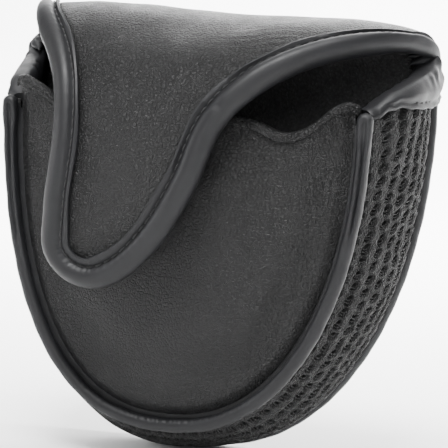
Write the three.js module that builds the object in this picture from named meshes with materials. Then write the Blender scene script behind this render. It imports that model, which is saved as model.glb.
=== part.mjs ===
// Head cover for a mid-mallet putter: a D-shaped padded pocket with a flap over its mouth.
// Millimetres, +Z up. X runs across the cover, -Y is the front panel's side, +Y the back.
// The design axes have x = 0 on the middle of the mouth, y = 0 on the outer face of the back
// panel and z = 0 at the upper ends of the front piping. The group is then placed so that the
// origin is the middle of the bottom of the whole cover.
import * as THREE from 'three';

// Driving dimensions -----------------------------------------------------------------------
const FRONT_HALF_WIDTH = 55.5; // to the outside of the front piping
const FRONT_DROP = 96; // from the piping's upper ends to the bottom of the front outline
const BACK_HALF_WIDTH = 64.5;
const BACK_DROP = 105.4;
const CORNER_HEIGHT = 17; // back panel's upper corners above the front piping's ends
const DEPTH_TOP = 41.5; // back face to the front seam, at the mouth
const DEPTH_BOTTOM = 33;
const LEAN = 5.5; // sideways lean of the soft pocket at its bottom
const OUTLINE_POWER = 2.3; // superellipse power of both D outlines
const DOME = 7.5; // crown of the padded front panel
const GUSSET_BULGE = 3;

const LEATHER = 1.1;
const FOAM = 2.8;
const FLAP_FOAM = 1.6;
const LINING = 1.2;
const FLAP_LINING = 1.0;
const MESH = 2.6;
const GUSSET_LINING = 1.0;
const BINDING_THICK = 0.8; // leather folded over an edge of the pocket
const FACING_INNER_LEG = 6.5;
const GAP = 0.3; // between neighbouring layers

const PIPING_RADIUS = 2;
const PIPING_BORE = 1.3;
const CORD_RADIUS = 0.95;
const SEAM_SETBACK = 5.3; // panel edge inside the outside of the piping
const THREAD_RADIUS = 0.28;

const FOLD_S = 62; // where the tongue bends on the hood, along the flap from the back seam
const TONGUE_END = 123.4; // tip of the tongue, measured the same way
const LAMINATE_SETBACK = 3.2; // flap layers inside the outside of their binding
const SPLIT_GAP = 0.25;

// Small helpers ----------------------------------------------------------------------------
const V = (x, y, z) => new THREE.Vector3(x, y, z);
const clamp = (v, low, high) => Math.min(high, Math.max(low, v));
const mix = (a, b, t) => a + (b - a) * t;
const range = (count) => Array.from({ length: count }, (_, i) => i);
const smooth = (t) => t * t * (3 - 2 * t);

// Points spread evenly by length along a polyline.
function evenly(points, count) {
  const length = [0];
  for (let i = 1; i < points.length; i += 1) {
    length.push(length[i - 1] + points[i].distanceTo(points[i - 1]));
  }
  const total = length[length.length - 1];
  let at = 0;
  return range(count).map((k) => {
    const want = (total * k) / (count - 1);
    while (at < points.length - 2 && length[at + 1] < want) {
      at += 1;
    }
    const t = clamp((want - length[at]) / (length[at + 1] - length[at]), 0, 1);
    return points[at].clone().lerp(points[at + 1], t);
  });
}

// Piecewise linear y(x) through [x, y] pairs with rising x.
function lookUp(pairs, x) {
  let i = 0;
  while (i < pairs.length - 2 && pairs[i + 1][0] < x) {
    i += 1;
  }
  const t = clamp((x - pairs[i][0]) / (pairs[i + 1][0] - pairs[i][0]), 0, 1);
  return mix(pairs[i][1], pairs[i + 1][1], t);
}

function spline(pairs) {
  return new THREE.CatmullRomCurve3(pairs.map(([a, b]) => V(a, b, 0)), false, 'centripetal');
}

// A closed mesh from points and triangles, turned so that its faces point out.
function solid(points, triangles) {
  let volume = 0;
  for (const [a, b, c] of triangles) {
    volume += points[a].dot(points[b].clone().cross(points[c]));
  }
  const index = triangles.flatMap(([a, b, c]) => (volume > 0 ? [a, b, c] : [a, c, b]));
  const geometry = new THREE.BufferGeometry();
  const flat = points.flatMap((p) => [p.x, p.y, p.z]);
  geometry.setAttribute('position', new THREE.Float32BufferAttribute(flat, 3));
  geometry.setIndex(index);
  geometry.computeVertexNormals();
  return geometry;
}

// A sheet with thickness: two grids of the same size, joined round their border.
function slab(outer, inner) {
  const rows = outer.length;
  const cols = outer[0].length;
  const points = [...outer.flat(), ...inner.flat()];
  const top = (r, c) => r * cols + c;
  const low = (r, c) => rows * cols + r * cols + c;
  const triangles = [];
  const quad = (a, b, c, d) => triangles.push([a, b, c], [a, c, d]);
  for (let r = 0; r < rows - 1; r += 1) {
    for (let c = 0; c < cols - 1; c += 1) {
      quad(top(r, c), top(r, c + 1), top(r + 1, c + 1), top(r + 1, c));
      quad(low(r, c), low(r + 1, c), low(r + 1, c + 1), low(r, c + 1));
    }
  }
  const border = [];
  range(cols - 1).forEach((c) => border.push([0, c]));
  range(rows - 1).forEach((r) => border.push([r, cols - 1]));
  range(cols - 1).forEach((c) => border.push([rows - 1, cols - 1 - c]));
  range(rows - 1).forEach((r) => border.push([rows - 1 - r, 0]));
  border.forEach(([r, c], i) => {
    const [nr, nc] = border[(i + 1) % border.length];
    quad(top(r, c), low(r, c), low(nr, nc), top(nr, nc));
  });
  return solid(points, triangles);
}

// A tube through rings of points. The flat section, and its hole, shape the two end faces.
function loft(rings, section, hole = []) {
  const size = rings[0].length;
  const triangles = [];
  const wall = (start, count, i) => {
    for (let k = 0; k < count; k += 1) {
      const a = i * size + start + k;
      const b = i * size + start + ((k + 1) % count);
      triangles.push([a, b, b + size], [a, b + size, a + size]);
    }
  };
  const last = rings.length - 1;
  for (let i = 0; i < last; i += 1) {
    wall(0, section.length, i);
    wall(section.length, hole.length, i);
  }
  const to2 = (list) => list.map(([u, v]) => new THREE.Vector2(u, v));
  const corners = to2([...section, ...hole]);
  const turnsLeft = THREE.ShapeUtils.area(to2(section)) > 0;
  const holes = hole.length ? [to2(hole)] : [];
  for (const face of THREE.ShapeUtils.triangulateShape(to2(section), holes)) {
    const isLeft = THREE.ShapeUtils.area(face.map((k) => corners[k])) > 0;
    const [a, b, c] = isLeft === turnsLeft ? face : [...face].reverse();
    const end = last * size;
    triangles.push([a, c, b], [a + end, b + end, c + end]);
  }
  return solid(rings.flat(), triangles);
}

// A section carried along frames {p, a, b}: section points are [along a, along b].
function sweep(placed, sectionAt, hole = []) {
  const rings = placed.map(({ p, a, b }, i) =>
    [...sectionAt(i), ...hole].map(([u, v]) => p.clone().addScaledVector(a, u).addScaledVector(b, v)),
  );
  return loft(rings, sectionAt(0), hole);
}

const circle = (radius, sides, cu = 0, cv = 0) =>
  range(sides).map((i) => {
    const angle = (2 * Math.PI * i) / sides;
    return [cu + radius * Math.cos(angle), cv + radius * Math.sin(angle)];
  });

// Frames along a path from a direction that should stay beside it.
function frames(path, sideAt) {
  return path.map((p, i) => {
    const before = path[Math.max(0, i - 1)];
    const after = path[Math.min(path.length - 1, i + 1)];
    const tangent = after.clone().sub(before).normalize();
    const side = sideAt(i);
    const a = side.clone().addScaledVector(tangent, -side.dot(tangent)).normalize();
    return { p, a, b: tangent.clone().cross(a).normalize(), tangent };
  });
}

// The pocket's outlines --------------------------------------------------------------------
const lean = (drop) => LEAN * clamp(drop, 0, 1) ** 1.5;
const depthAt = (drop) => mix(DEPTH_TOP, DEPTH_BOTTOM, clamp(drop, -0.1, 1));

// Height of the lower half of a D outline under x, from its half width and drop.
function outlineBottom(x, halfWidth, drop) {
  const inside = clamp(1 - Math.abs(x / halfWidth) ** OUTLINE_POWER, 0, 1);
  return -drop * inside ** (1 / OUTLINE_POWER);
}

// The same outline as points from the right end round to the left one.
function outlinePath(halfWidth, drop, yAt, rise = 0) {
  const samples = 400;
  const points = range(samples + 1).map((i) => {
    const angle = (Math.PI * i) / samples;
    const c = Math.cos(angle);
    const x = halfWidth * Math.sign(c) * Math.abs(c) ** (2 / OUTLINE_POWER);
    const z = -drop * Math.sin(angle) ** (2 / OUTLINE_POWER);
    return V(x - lean(-z / drop), yAt(-z / drop), z);
  });
  if (rise > 0) {
    points.unshift(V(halfWidth, yAt(0), rise));
    points.push(V(-halfWidth, yAt(0), rise));
  }
  return points;
}

// The front panel --------------------------------------------------------------------------
// Upper edge of the front panel: high at both corners, dipped beside the shaft.
const LIP = spline([
  [-53.5, 3], [-50.5, 6], [-44, 3.6], [-36, -1.2], [-27, -3.4], [-10, -2.6], [8, -2],
  [20, -3], [31.5, -6.8], [39, -4.3], [45, 0.6], [49, 2.2], [53.5, 1.6],
]);
const LIP_RISE = 0.5; // its binding stands this far above the panel's own line
const LIP_CUT = 1.9; // and the layers inside stop this far below it
const LIP_PAIRS = LIP.getPoints(160).map((p) => [p.x, p.y]);
const lipHeight = (x) => lookUp(LIP_PAIRS, x);

function crown(x, z) {
  const a = FRONT_HALF_WIDTH - SEAM_SETBACK;
  const h = FRONT_DROP - SEAM_SETBACK;
  const sum = Math.abs(x / a) ** OUTLINE_POWER + Math.abs(Math.min(z, 0) / h) ** OUTLINE_POWER;
  const level = sum ** (1 / OUTLINE_POWER);
  const nearMouth = mix(0.35, 1, smooth(clamp((8 - z) / 30, 0, 1)));
  return DOME * nearMouth * clamp(1 - level ** 3, 0, 1) ** 0.75;
}

// A point of the front panel, depth millimetres behind its outer face.
function frontPoint(x, z, depth) {
  const drop = -z / FRONT_DROP;
  return V(x - lean(drop), -depthAt(drop) - crown(x, z) + depth, z);
}

// The padding thins towards the upper edge, so that its binding can close over it.
const LIP_FOAM = 0.2;
const lipTaper = (x, z) => mix(LIP_FOAM, 1, smooth(clamp((lipHeight(x) - z - 6) / 10, 0, 1)));

function frontSheet(setback, topSetback, cols, rows, depths) {
  const a = FRONT_HALF_WIDTH - SEAM_SETBACK - setback;
  const h = FRONT_DROP - SEAM_SETBACK - setback;
  const end = 0.985;
  const grid = (side) =>
    range(cols).map((i) => {
      const x = -a * end * Math.cos((Math.PI * i) / (cols - 1));
      const low = outlineBottom(x, a, h);
      const high = lipHeight(x) - topSetback;
      return range(rows).map((j) => {
        const z = mix(low, high, smooth(j / (rows - 1)));
        return frontPoint(x, z, depths(x, z)[side]);
      });
    });
  return slab(grid(0), grid(1));
}

const leatherDepths = () => [0, LEATHER];
const foamDepths = (x, z) => [LEATHER + GAP, LEATHER + GAP + FOAM * lipTaper(x, z)];
function liningDepths(x, z) {
  const start = LEATHER + 2 * GAP + FOAM * lipTaper(x, z);
  return [start, start + LINING];
}

// A strip folded over an edge: down the outside, round the edge and up the inside.
function foldedStrip(outerLeg, innerLeg, thick, laminate) {
  const out = GAP + thick;
  const inn = -laminate - GAP - thick;
  const middle = -laminate / 2;
  const round = 1.2;
  return [
    [outerLeg, GAP], [outerLeg, out], [1.6, out], [0.5, out - round], [0, middle],
    [0.5, inn + round], [1.6, inn], [innerLeg, inn], [innerLeg, inn + thick],
    [1.9, inn + thick], [0.9, middle], [1.9, GAP],
  ];
}

function frontEdgeBinding() {
  const laminate = LEATHER + 2 * GAP + FOAM * LIP_FOAM + LINING;
  const leg = 5.2;
  const section = foldedStrip(leg, leg, BINDING_THICK, laminate);
  const halfLength = 48.5;
  const stations = range(37).map((i) => mix(-halfLength, halfLength, i / 36));
  const rings = stations.map((x) =>
    section.map(([down, out]) => frontPoint(x, lipHeight(x) + LIP_RISE - down, -out)),
  );
  return loft(rings, section);
}

// The hook patch on the front panel: wider below the flap's tongue, slanted on its right.
const HOOK_THICK = 1.3;
function hookPatch() {
  const left = -32;
  const right = 9;
  const top = -14;
  const bottom = (x) => {
    const corner = 5;
    const slant = lookUp([[-2, -44.5], [right, -15]], x);
    const round = clamp((left + corner - x) / corner, 0, 1);
    return Math.max(-44.5, slant) + corner * (1 - Math.sqrt(1 - round * round));
  };
  const cols = 15;
  const rows = 6;
  const grid = (depth) =>
    range(cols).map((i) => {
      const x = mix(left, right - 0.4, (1 - Math.cos((Math.PI * i) / (cols - 1))) / 2);
      return range(rows).map((j) => frontPoint(x + 1, mix(bottom(x), top, j / (rows - 1)), depth));
    });
  return slab(grid(-GAP - HOOK_THICK), grid(-GAP));
}

// Piping: a leather strip round a cord, with its seam allowance running into the seam --------
const PIPING_SECTION = [
  ...range(11).map((i) => {
    const angle = -1.92 + (i * 5.8) / 10;
    return [PIPING_RADIUS * Math.cos(angle), PIPING_RADIUS * Math.sin(angle)];
  }),
  [-4.3, -1.45], [-4.3, -2.25],
];

// Section axes: a points away from the pocket in the panel's plane, b out of the panel.
function pipingFrames(path, face) {
  const centre = V(0, 0, -20);
  const away = (i) => V(path[i].x - centre.x, 0, path[i].z - centre.z);
  return frames(path, away).map(({ p, a, b }) => ({ p, a, b: b.y * face > 0 ? b : b.negate() }));
}

function pipingPath(halfWidth, drop, yAt, rise, count) {
  const inset = PIPING_RADIUS;
  return evenly(outlinePath(halfWidth - inset, drop - inset, yAt, rise), count);
}

const frontPiping = pipingFrames(
  pipingPath(FRONT_HALF_WIDTH, FRONT_DROP, (drop) => -depthAt(drop), 0, 36),
  -1,
);
const backPiping = pipingFrames(
  pipingPath(BACK_HALF_WIDTH, BACK_DROP, () => -PIPING_RADIUS - 0.2, CORNER_HEIGHT - 2.5, 42),
  1,
);
const BORE = circle(PIPING_BORE, 7).reverse();
const pipingCover = (placed) => sweep(placed, () => PIPING_SECTION, BORE);
const pipingCord = (placed) => sweep(placed, () => circle(CORD_RADIUS, 7));

// The gusset -------------------------------------------------------------------------------
// Rows run from the front piping to the back piping, columns from the right end of the mouth
// round the bottom to the left end.
const GUSSET_COLS = 41;
function gussetEdge(halfWidth, drop, yAt, rise, count) {
  const inset = 1.2;
  return evenly(outlinePath(halfWidth - inset, drop - inset, yAt, rise), count);
}

function gussetPoint(front, back, i, w, depth) {
  const across = back[i].clone().sub(front[i]);
  const along = front[Math.min(front.length - 1, i + 1)].clone().sub(front[Math.max(0, i - 1)]);
  const outward = along.cross(across).normalize();
  const middle = front[i].clone().lerp(back[i], w);
  return middle.addScaledVector(outward, GUSSET_BULGE * Math.sin(Math.PI * w) - depth);
}

function gussetEdges(count) {
  const front = gussetEdge(FRONT_HALF_WIDTH, FRONT_DROP, (d) => -depthAt(d) + 2.7, 0, count);
  const back = gussetEdge(BACK_HALF_WIDTH, BACK_DROP, () => -5.4, CORNER_HEIGHT - 3, count);
  return { front, back };
}

function gussetLayer(from, to, endSetback, rows, margin) {
  const { front, back } = gussetEdges(GUSSET_COLS * 2);
  const first = endSetback;
  const last = GUSSET_COLS * 2 - 1 - endSetback;
  const grid = (depth) =>
    range(GUSSET_COLS).map((c) => {
      const i = Math.round(mix(first, last, c / (GUSSET_COLS - 1)));
      return range(rows).map((r) => {
        return gussetPoint(front, back, i, mix(margin, 1 - margin, r / (rows - 1)), depth);
      });
    });
  return slab(grid(from), grid(to));
}

// The leather facing over each upper end of the gusset, deeper towards the back.
function mouthFrames(side, from, to, count) {
  const { front, back } = gussetEdges(GUSSET_COLS * 2);
  const end = side > 0 ? 0 : front.length - 1;
  const next = side > 0 ? 1 : front.length - 2;
  return range(count).map((k) => {
    const w = mix(from, to, k / (count - 1));
    const p = gussetPoint(front, back, end, w, 0);
    const below = gussetPoint(front, back, next, w, 0);
    const ahead = gussetPoint(front, back, end, w + 0.01, 0);
    const tangent = ahead.sub(p).normalize();
    const down = below.sub(p);
    const a = down.addScaledVector(tangent, -down.dot(tangent)).normalize();
    const b = tangent.clone().cross(a).normalize();
    return { p, a, b: b.x * side > 0 ? b : b.negate(), w };
  });
}

const FACING_FROM = 0.03;
const FACING_TO = 0.9;
const GUSSET_STACK = MESH + GAP + GUSSET_LINING;
const facingDrop = (w) => mix(3.6, 12.5, smooth(clamp(w, 0, 1)));
function gussetFacing(side) {
  const placed = mouthFrames(side, FACING_FROM, FACING_TO, 13);
  return sweep(placed, (i) =>
    foldedStrip(facingDrop(placed[i].w), FACING_INNER_LEG, BINDING_THICK, GUSSET_STACK),
  );
}

function elasticBand(side) {
  const placed = mouthFrames(side, FACING_FROM + 0.02, FACING_TO - 0.02, 13);
  const low = 0.9 - GUSSET_STACK;
  return sweep(placed, () => [[1.6, low], [2.7, low], [2.7, -0.9], [1.6, -0.9]]);
}

function facingStitch(side) {
  const placed = mouthFrames(side, FACING_FROM + 0.06, FACING_TO - 0.02, 13);
  const lift = GAP + BINDING_THICK + GAP + THREAD_RADIUS;
  return sweep(placed, (i) => circle(THREAD_RADIUS, 6, facingDrop(placed[i].w) - 2, lift));
}

// The back panel, flat on its outer face ---------------------------------------------------
function backSheet(setback, top, from, thick) {
  const a = BACK_HALF_WIDTH - 2 * PIPING_RADIUS - 0.6 - setback;
  const h = BACK_DROP - 2 * PIPING_RADIUS - 0.6 - setback;
  const outline = evenly(outlinePath(a, h, () => 0, top), 56);
  const shape = new THREE.Shape(outline.map((p) => new THREE.Vector2(p.x, p.z)));
  const geometry = new THREE.ExtrudeGeometry(shape, { depth: thick, bevelEnabled: false });
  geometry.rotateX(Math.PI / 2);
  geometry.translate(0, -from, 0);
  return geometry;
}

// The flap ---------------------------------------------------------------------------------
// Side profile in (y, z): up from the back seam, over the mouth and down the front panel.
const PROFILE = new THREE.CatmullRomCurve3(
  [
    [0, 17], [-0.1, 20], [-6.2, 24.7], [-18, 26.5], [-31, 24], [-42.5, 16], [-51, 4],
    [-54.8, -10], [-55.4, -24], [-54, -40], [-52, -57],
  ].map(([y, z]) => V(0, y, z)),
  false,
  'centripetal',
);
PROFILE.arcLengthDivisions = 600;
const PROFILE_LENGTH = PROFILE.getLength();

// The arch shrinks to nothing at the two back corners, faster on the right.
function archScale(x) {
  const right = clamp((x - 30) / 35, 0, 1);
  const left = clamp((-45 - x) / 20, 0, 1);
  return Math.sqrt(1 - right * right) * Math.sqrt(1 - left * left);
}

const SWAY_END = 58;
// The crest sways: high over the tongue's outer edge, low over the middle.
function sway(x, s) {
  const along = Math.sin(Math.PI * clamp(s / SWAY_END, 0, 1));
  return 1.6 * Math.cos((Math.PI * (x + 45)) / 66) * along * archScale(x);
}

function flapPoint(x, s) {
  const p = PROFILE.getPointAt(clamp(s / PROFILE_LENGTH, 0, 1));
  const k = archScale(x);
  return V(x, p.y * k, CORNER_HEIGHT + (p.z - CORNER_HEIGHT) * k + sway(x, s));
}

function flapNormal(x, s) {
  const step = 0.4;
  const low = Math.max(0.01, s - step);
  const across = flapPoint(x + step, s).sub(flapPoint(x - step, s));
  const along = flapPoint(x, s + step).sub(flapPoint(x, low));
  return across.cross(along).negate().normalize();
}

const onFlap = (x, s, depth) => flapPoint(x, s).addScaledVector(flapNormal(x, s), -depth);

// Free edge of the flap in (x, s), from the left corner round the tongue to the right corner.
const EDGE = spline([
  [-64, 25], [-57, 29], [-49, 43], [-39.8, 56.4], [-35.6, 66.5], [-34, 80], [-36, 100.4],
  [-36.2, 113.5], [-30, 121.2], [-20.5, TONGUE_END], [-11, 119.4], [0.2, 108.3], [10, 91.6],
  [16.2, 75.2], [25.2, 63.8], [38.5, 52.8], [51, 47.6], [64, 45],
]);
EDGE.arcLengthDivisions = 800;
const EDGE_LIMIT = 62.6; // the hood's layers and binding end short of the corners

// Edge points moved inwards over the flap by a distance.
function insetEdge(distance) {
  const samples = 700;
  const points = EDGE.getSpacedPoints(samples);
  return points.map((p, i) => {
    const before = points[Math.max(0, i - 1)];
    const after = points[Math.min(samples, i + 1)];
    const k = Math.max(archScale(p.x), 0.3);
    const dx = after.x - before.x;
    const ds = (after.y - before.y) * k;
    const n = Math.hypot(dx, ds);
    return [p.x + (distance * ds) / n, p.y - (distance * dx) / (n * k)];
  });
}

// The part of an inset edge over the hood: left of the tongue, then right of it.
function hoodEdges(distance, limit) {
  const edge = insetEdge(distance);
  const tip = edge.findIndex(([, s]) => s === Math.max(...edge.map(([, t]) => t)));
  const stop = FOLD_S - SPLIT_GAP;
  const left = edge.slice(0, tip).filter(([x, s]) => s < stop && x > -limit);
  const right = edge.slice(tip).filter(([x, s]) => s < stop && x < limit);
  return { left, right, stop };
}

function thin(list, count) {
  return evenly(list.map(([x, s]) => V(x, s, 0)), count).map((p) => [p.x, p.y]);
}

const HOOD_LIMIT = 57.5; // the arch is too tight for the layers beyond this x
function hoodSheet(inset, from, to) {
  const counts = [8, 10, 10];
  const rows = 8;
  const { left, right, stop } = hoodEdges(inset, HOOD_LIMIT);
  const start = [left[left.length - 1][0], stop];
  const end = [right[0][0], stop];
  const top = [
    ...thin(left, counts[0]).slice(0, -1),
    ...range(counts[1]).map((i) => [mix(start[0], end[0], i / (counts[1] - 1)), stop]),
    ...thin(right, counts[2]).slice(1),
  ];
  const grid = (depth) =>
    top.map(([x, s]) => range(rows).map((r) => onFlap(x, mix(SPLIT_GAP, s, r / (rows - 1)), depth)));
  return slab(grid(from), grid(to));
}

// Left and right x of an inset tongue at a height s.
function tongueSides(inset) {
  const edge = insetEdge(inset);
  const highest = Math.max(...edge.map(([, s]) => s));
  const tip = edge.findIndex(([, s]) => s === highest);
  const rising = edge.slice(0, tip + 1).map(([x, s]) => [s, x]);
  const falling = edge.slice(tip).map(([x, s]) => [s, x]).reverse();
  return { highest, left: (s) => lookUp(rising, s), right: (s) => lookUp(falling, s) };
}

function tongueSheet(inset, begin, cols, rows, from, to) {
  const { highest, left, right } = tongueSides(inset);
  const grid = (depth) =>
    range(rows).map((r) => {
      const s = mix(begin, highest - 0.12, Math.sin((Math.PI * r) / (2 * (rows - 1))));
      return range(cols).map((c) => onFlap(mix(left(s), right(s), c / (cols - 1)), s, depth));
    });
  return slab(grid(from), grid(to));
}

// Binding rolled round the flap's edge. Section: [inwards from the edge, out of the surface].
const FLAP_STACK = LEATHER + FLAP_FOAM + FLAP_LINING + 2 * GAP;
const BINDING_SECTION = [
  [8.6, 0.3], [8.6, 1.3], [8.1, 1.6], [7.5, 1.25], [7, 0.6], [6.5, 0.6], [6, 1.15],
  [4.4, 1.65], [2.4, 1.2], [0.8, 0], [0, -2], [0.7, -4.2], [2.4, -5.5], [4.6, -5.8],
  [6.8, -5.7], [6.8, -FLAP_STACK - 0.6], [3, -FLAP_STACK - 0.6], [1.8, -3.6], [1.4, -2],
  [1.9, -0.5], [3, 0.3],
];
const THREAD_INWARDS = 6.75;
const THREAD_LIFT = 1.22;
const MITRE_RUN = 16; // length over which the binding's ends turn to lie along the bend

// A strip along the free edge, laid on the flap's own surface. At the bend its ends are
// mitred to lie along X.
function flapStrip({ points, mitreStart, mitreEnd }, section) {
  const last = points.length - 1;
  const flat = points.map(([x, s]) => V(x, s * Math.max(archScale(x), 0.3), 0));
  const travelled = [0];
  for (let i = 1; i <= last; i += 1) {
    travelled.push(travelled[i - 1] + flat[i].distanceTo(flat[i - 1]));
  }
  const tangents = points.map(([x], i) => {
    const [bx, bs] = points[Math.max(0, i - 1)];
    const [ax, as] = points[Math.min(last, i + 1)];
    return new THREE.Vector2(ax - bx, (as - bs) * Math.max(archScale(x), 0.3)).normalize();
  });
  const mitre = (end, away) => clamp(1 - away / MITRE_RUN, 0, 1) * (tangents[end].x / tangents[end].y);
  const rings = points.map(([x, s], i) => {
    const k = Math.max(archScale(x), 0.3);
    const atStart = mitreStart ? mitre(0, travelled[i]) : 0;
    const atEnd = mitreEnd ? mitre(last, travelled[last] - travelled[i]) : 0;
    const shear = atStart + atEnd;
    const t = tangents[i];
    const inX = t.y + shear * t.x;
    const inS = (shear * t.y - t.x) / k;
    return section.map(([u, v]) => onFlap(x + u * inX, s + u * inS, -v));
  });
  return loft(rings, section);
}

function edgeRun(part) {
  const samples = EDGE.getSpacedPoints(900).map((p) => [p.x, p.y]);
  const tip = samples.findIndex(([, s]) => s === Math.max(...samples.map(([, t]) => t)));
  if (part === 'left') {
    return samples.slice(0, tip).filter(([x, s]) => s < FOLD_S - SPLIT_GAP && x > -EDGE_LIMIT);
  }
  if (part === 'right') {
    return samples.slice(tip).filter(([x, s]) => s < FOLD_S - SPLIT_GAP && x < EDGE_LIMIT);
  }
  return samples.filter(([, s]) => s > FOLD_S + SPLIT_GAP);
}

const RUNS = {
  left: { points: thin(edgeRun('left'), 14), mitreStart: false, mitreEnd: true },
  tongue: { points: thin(edgeRun('tongue'), 36), mitreStart: true, mitreEnd: true },
  right: { points: thin(edgeRun('right'), 15), mitreStart: true, mitreEnd: false },
};
const flapBinding = (part) => flapStrip(RUNS[part], BINDING_SECTION);
const flapStitch = (part) =>
  flapStrip(RUNS[part], circle(THREAD_RADIUS, 6, THREAD_INWARDS, THREAD_LIFT));

const LOOP_THICK = 1.2;
const loopPatch = () =>
  tongueSheet(7.8, 84, 7, 8, FLAP_STACK + GAP, FLAP_STACK + GAP + LOOP_THICK);

// Assembly ---------------------------------------------------------------------------------
const finish = (color, roughness) =>
  new THREE.MeshStandardMaterial({ color, roughness, metalness: 0 });
const GRAINED = finish(0x242426, 0.5);
const SMOOTH = finish(0x2b2b2e, 0.42);
const FOAM_GREY = finish(0x55565a, 0.95);
const PLUSH = finish(0x0c0c0d, 1);
const NET = finish(0x1a1a1c, 0.85);
const WEBBING = finish(0x111113, 0.9);
const THREAD = finish(0x18181a, 0.7);
const CORD = finish(0xcfcfc8, 0.8);

const group = new THREE.Group();
function add(name, geometry, material) {
  const mesh = new THREE.Mesh(geometry, material);
  mesh.name = name;
  group.add(mesh);
}

add('front_panel', frontSheet(0, LIP_CUT, 27, 12, leatherDepths), GRAINED);
add('front_padding', frontSheet(1.5, LIP_CUT + 1.5, 21, 9, foamDepths), FOAM_GREY);
add('front_lining', frontSheet(1.5, LIP_CUT, 21, 9, liningDepths), PLUSH);
add('front_edge_binding', frontEdgeBinding(), SMOOTH);
add('hook_patch', hookPatch(), WEBBING);
add('front_piping_cover', pipingCover(frontPiping), SMOOTH);
add('front_piping_cord', pipingCord(frontPiping), CORD);

add('gusset_mesh', gussetLayer(0, MESH, 1, 6, 0), NET);
add('gusset_lining', gussetLayer(MESH + GAP, GUSSET_STACK, 1, 5, 0.03), PLUSH);
for (const [side, name] of [[-1, 'left'], [1, 'right']]) {
  add(`gusset_facing_${name}`, gussetFacing(side), SMOOTH);
  add(`facing_elastic_${name}`, elasticBand(side), WEBBING);
  add(`facing_stitch_${name}`, facingStitch(side), THREAD);
}

const backTop = CORNER_HEIGHT - SPLIT_GAP;
add('back_panel', backSheet(0, backTop, 0, LEATHER), GRAINED);
add('back_padding', backSheet(4, backTop - 1, LEATHER + GAP, FOAM), FOAM_GREY);
add('back_lining', backSheet(4, backTop, LEATHER + 2 * GAP + FOAM, LINING), PLUSH);
add('back_piping_cover', pipingCover(backPiping), SMOOTH);
add('back_piping_cord', pipingCord(backPiping), CORD);

const inset = LAMINATE_SETBACK;
const foamTop = LEATHER + GAP;
const liningTop = foamTop + FLAP_FOAM + GAP;
add('hood_leather', hoodSheet(inset, 0, LEATHER), GRAINED);
add('hood_padding', hoodSheet(inset, foamTop, foamTop + FLAP_FOAM), FOAM_GREY);
add('hood_lining', hoodSheet(inset, liningTop, FLAP_STACK), PLUSH);
add('hood_binding_left', flapBinding('left'), SMOOTH);
add('hood_binding_right', flapBinding('right'), SMOOTH);
add('hood_stitch_left', flapStitch('left'), THREAD);
add('hood_stitch_right', flapStitch('right'), THREAD);

const begin = FOLD_S + SPLIT_GAP;
const tongueLayer = (from, to) => tongueSheet(inset, begin, 9, 11, from, to);
add('tongue_leather', tongueLayer(0, LEATHER), GRAINED);
add('tongue_padding', tongueLayer(foamTop, foamTop + FLAP_FOAM), FOAM_GREY);
add('tongue_lining', tongueLayer(liningTop, FLAP_STACK), PLUSH);
add('tongue_binding', flapBinding('tongue'), SMOOTH);
add('tongue_stitch', flapStitch('tongue'), THREAD);
add('loop_patch', loopPatch(), WEBBING);

const extent = new THREE.Box3().setFromObject(group);
const middle = extent.getCenter(V(0, 0, 0));
group.position.set(-middle.x, -middle.y, -extent.min.z);

export default group;
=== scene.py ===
import math

import bmesh
import bpy
import numpy as np
from mathutils import Matrix, Vector

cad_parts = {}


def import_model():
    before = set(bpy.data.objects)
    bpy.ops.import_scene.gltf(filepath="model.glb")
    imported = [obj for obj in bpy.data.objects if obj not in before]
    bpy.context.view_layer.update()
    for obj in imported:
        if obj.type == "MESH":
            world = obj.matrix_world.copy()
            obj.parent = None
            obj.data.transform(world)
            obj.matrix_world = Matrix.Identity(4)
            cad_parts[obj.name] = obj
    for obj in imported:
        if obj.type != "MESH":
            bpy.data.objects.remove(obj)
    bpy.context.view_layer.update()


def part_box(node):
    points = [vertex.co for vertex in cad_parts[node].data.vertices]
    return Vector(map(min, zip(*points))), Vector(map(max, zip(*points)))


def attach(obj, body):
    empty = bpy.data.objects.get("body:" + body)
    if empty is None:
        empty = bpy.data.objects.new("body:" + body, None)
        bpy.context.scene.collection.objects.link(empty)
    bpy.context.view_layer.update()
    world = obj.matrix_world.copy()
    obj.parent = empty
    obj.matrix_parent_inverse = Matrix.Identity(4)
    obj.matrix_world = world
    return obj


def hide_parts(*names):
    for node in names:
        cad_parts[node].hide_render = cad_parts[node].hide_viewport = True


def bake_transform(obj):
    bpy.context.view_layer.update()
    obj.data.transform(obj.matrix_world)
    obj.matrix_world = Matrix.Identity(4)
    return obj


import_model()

# Dimensions of the cover, in millimetres, on its design axes: x = 0 in the middle of the mouth,
# y = 0 on the back panel's outer face, z = 0 at the upper ends of the front piping.
FRONT_HALF_WIDTH = 55.5
FRONT_DROP = 96.0
BACK_HALF_WIDTH = 64.5
BACK_DROP = 105.4
CORNER_HEIGHT = 17.0
DEPTH_TOP = 41.5
DEPTH_BOTTOM = 33.0
LEAN = 5.5
OUTLINE_POWER = 2.3
DOME = 7.5
GUSSET_BULGE = 3.0
LEATHER = 1.1
FOAM = 2.8
FLAP_FOAM = 1.6
LINING = 1.2
FLAP_LINING = 1.0
MESH = 2.6
GAP = 0.3
GUSSET_STACK = MESH + GAP + 1.0
FLAP_STACK = LEATHER + FLAP_FOAM + FLAP_LINING + 2 * GAP
PIPING_RADIUS = 2.0
SEAM_SETBACK = 5.3
SPLIT_GAP = 0.25

low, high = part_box("back_panel")
ORIGIN = np.array([(low.x + high.x) / 2, high.y, high.z - (CORNER_HEIGHT - SPLIT_GAP) * 0.001])


# Numbers ------------------------------------------------------------------------------------
def clamp(v, lowest=0.0, highest=1.0):
    return np.minimum(np.maximum(v, lowest), highest)


def mix(a, b, t):
    return a + (b - a) * t


def smooth(t):
    t = clamp(t)
    return t * t * (3 - 2 * t)


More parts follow.
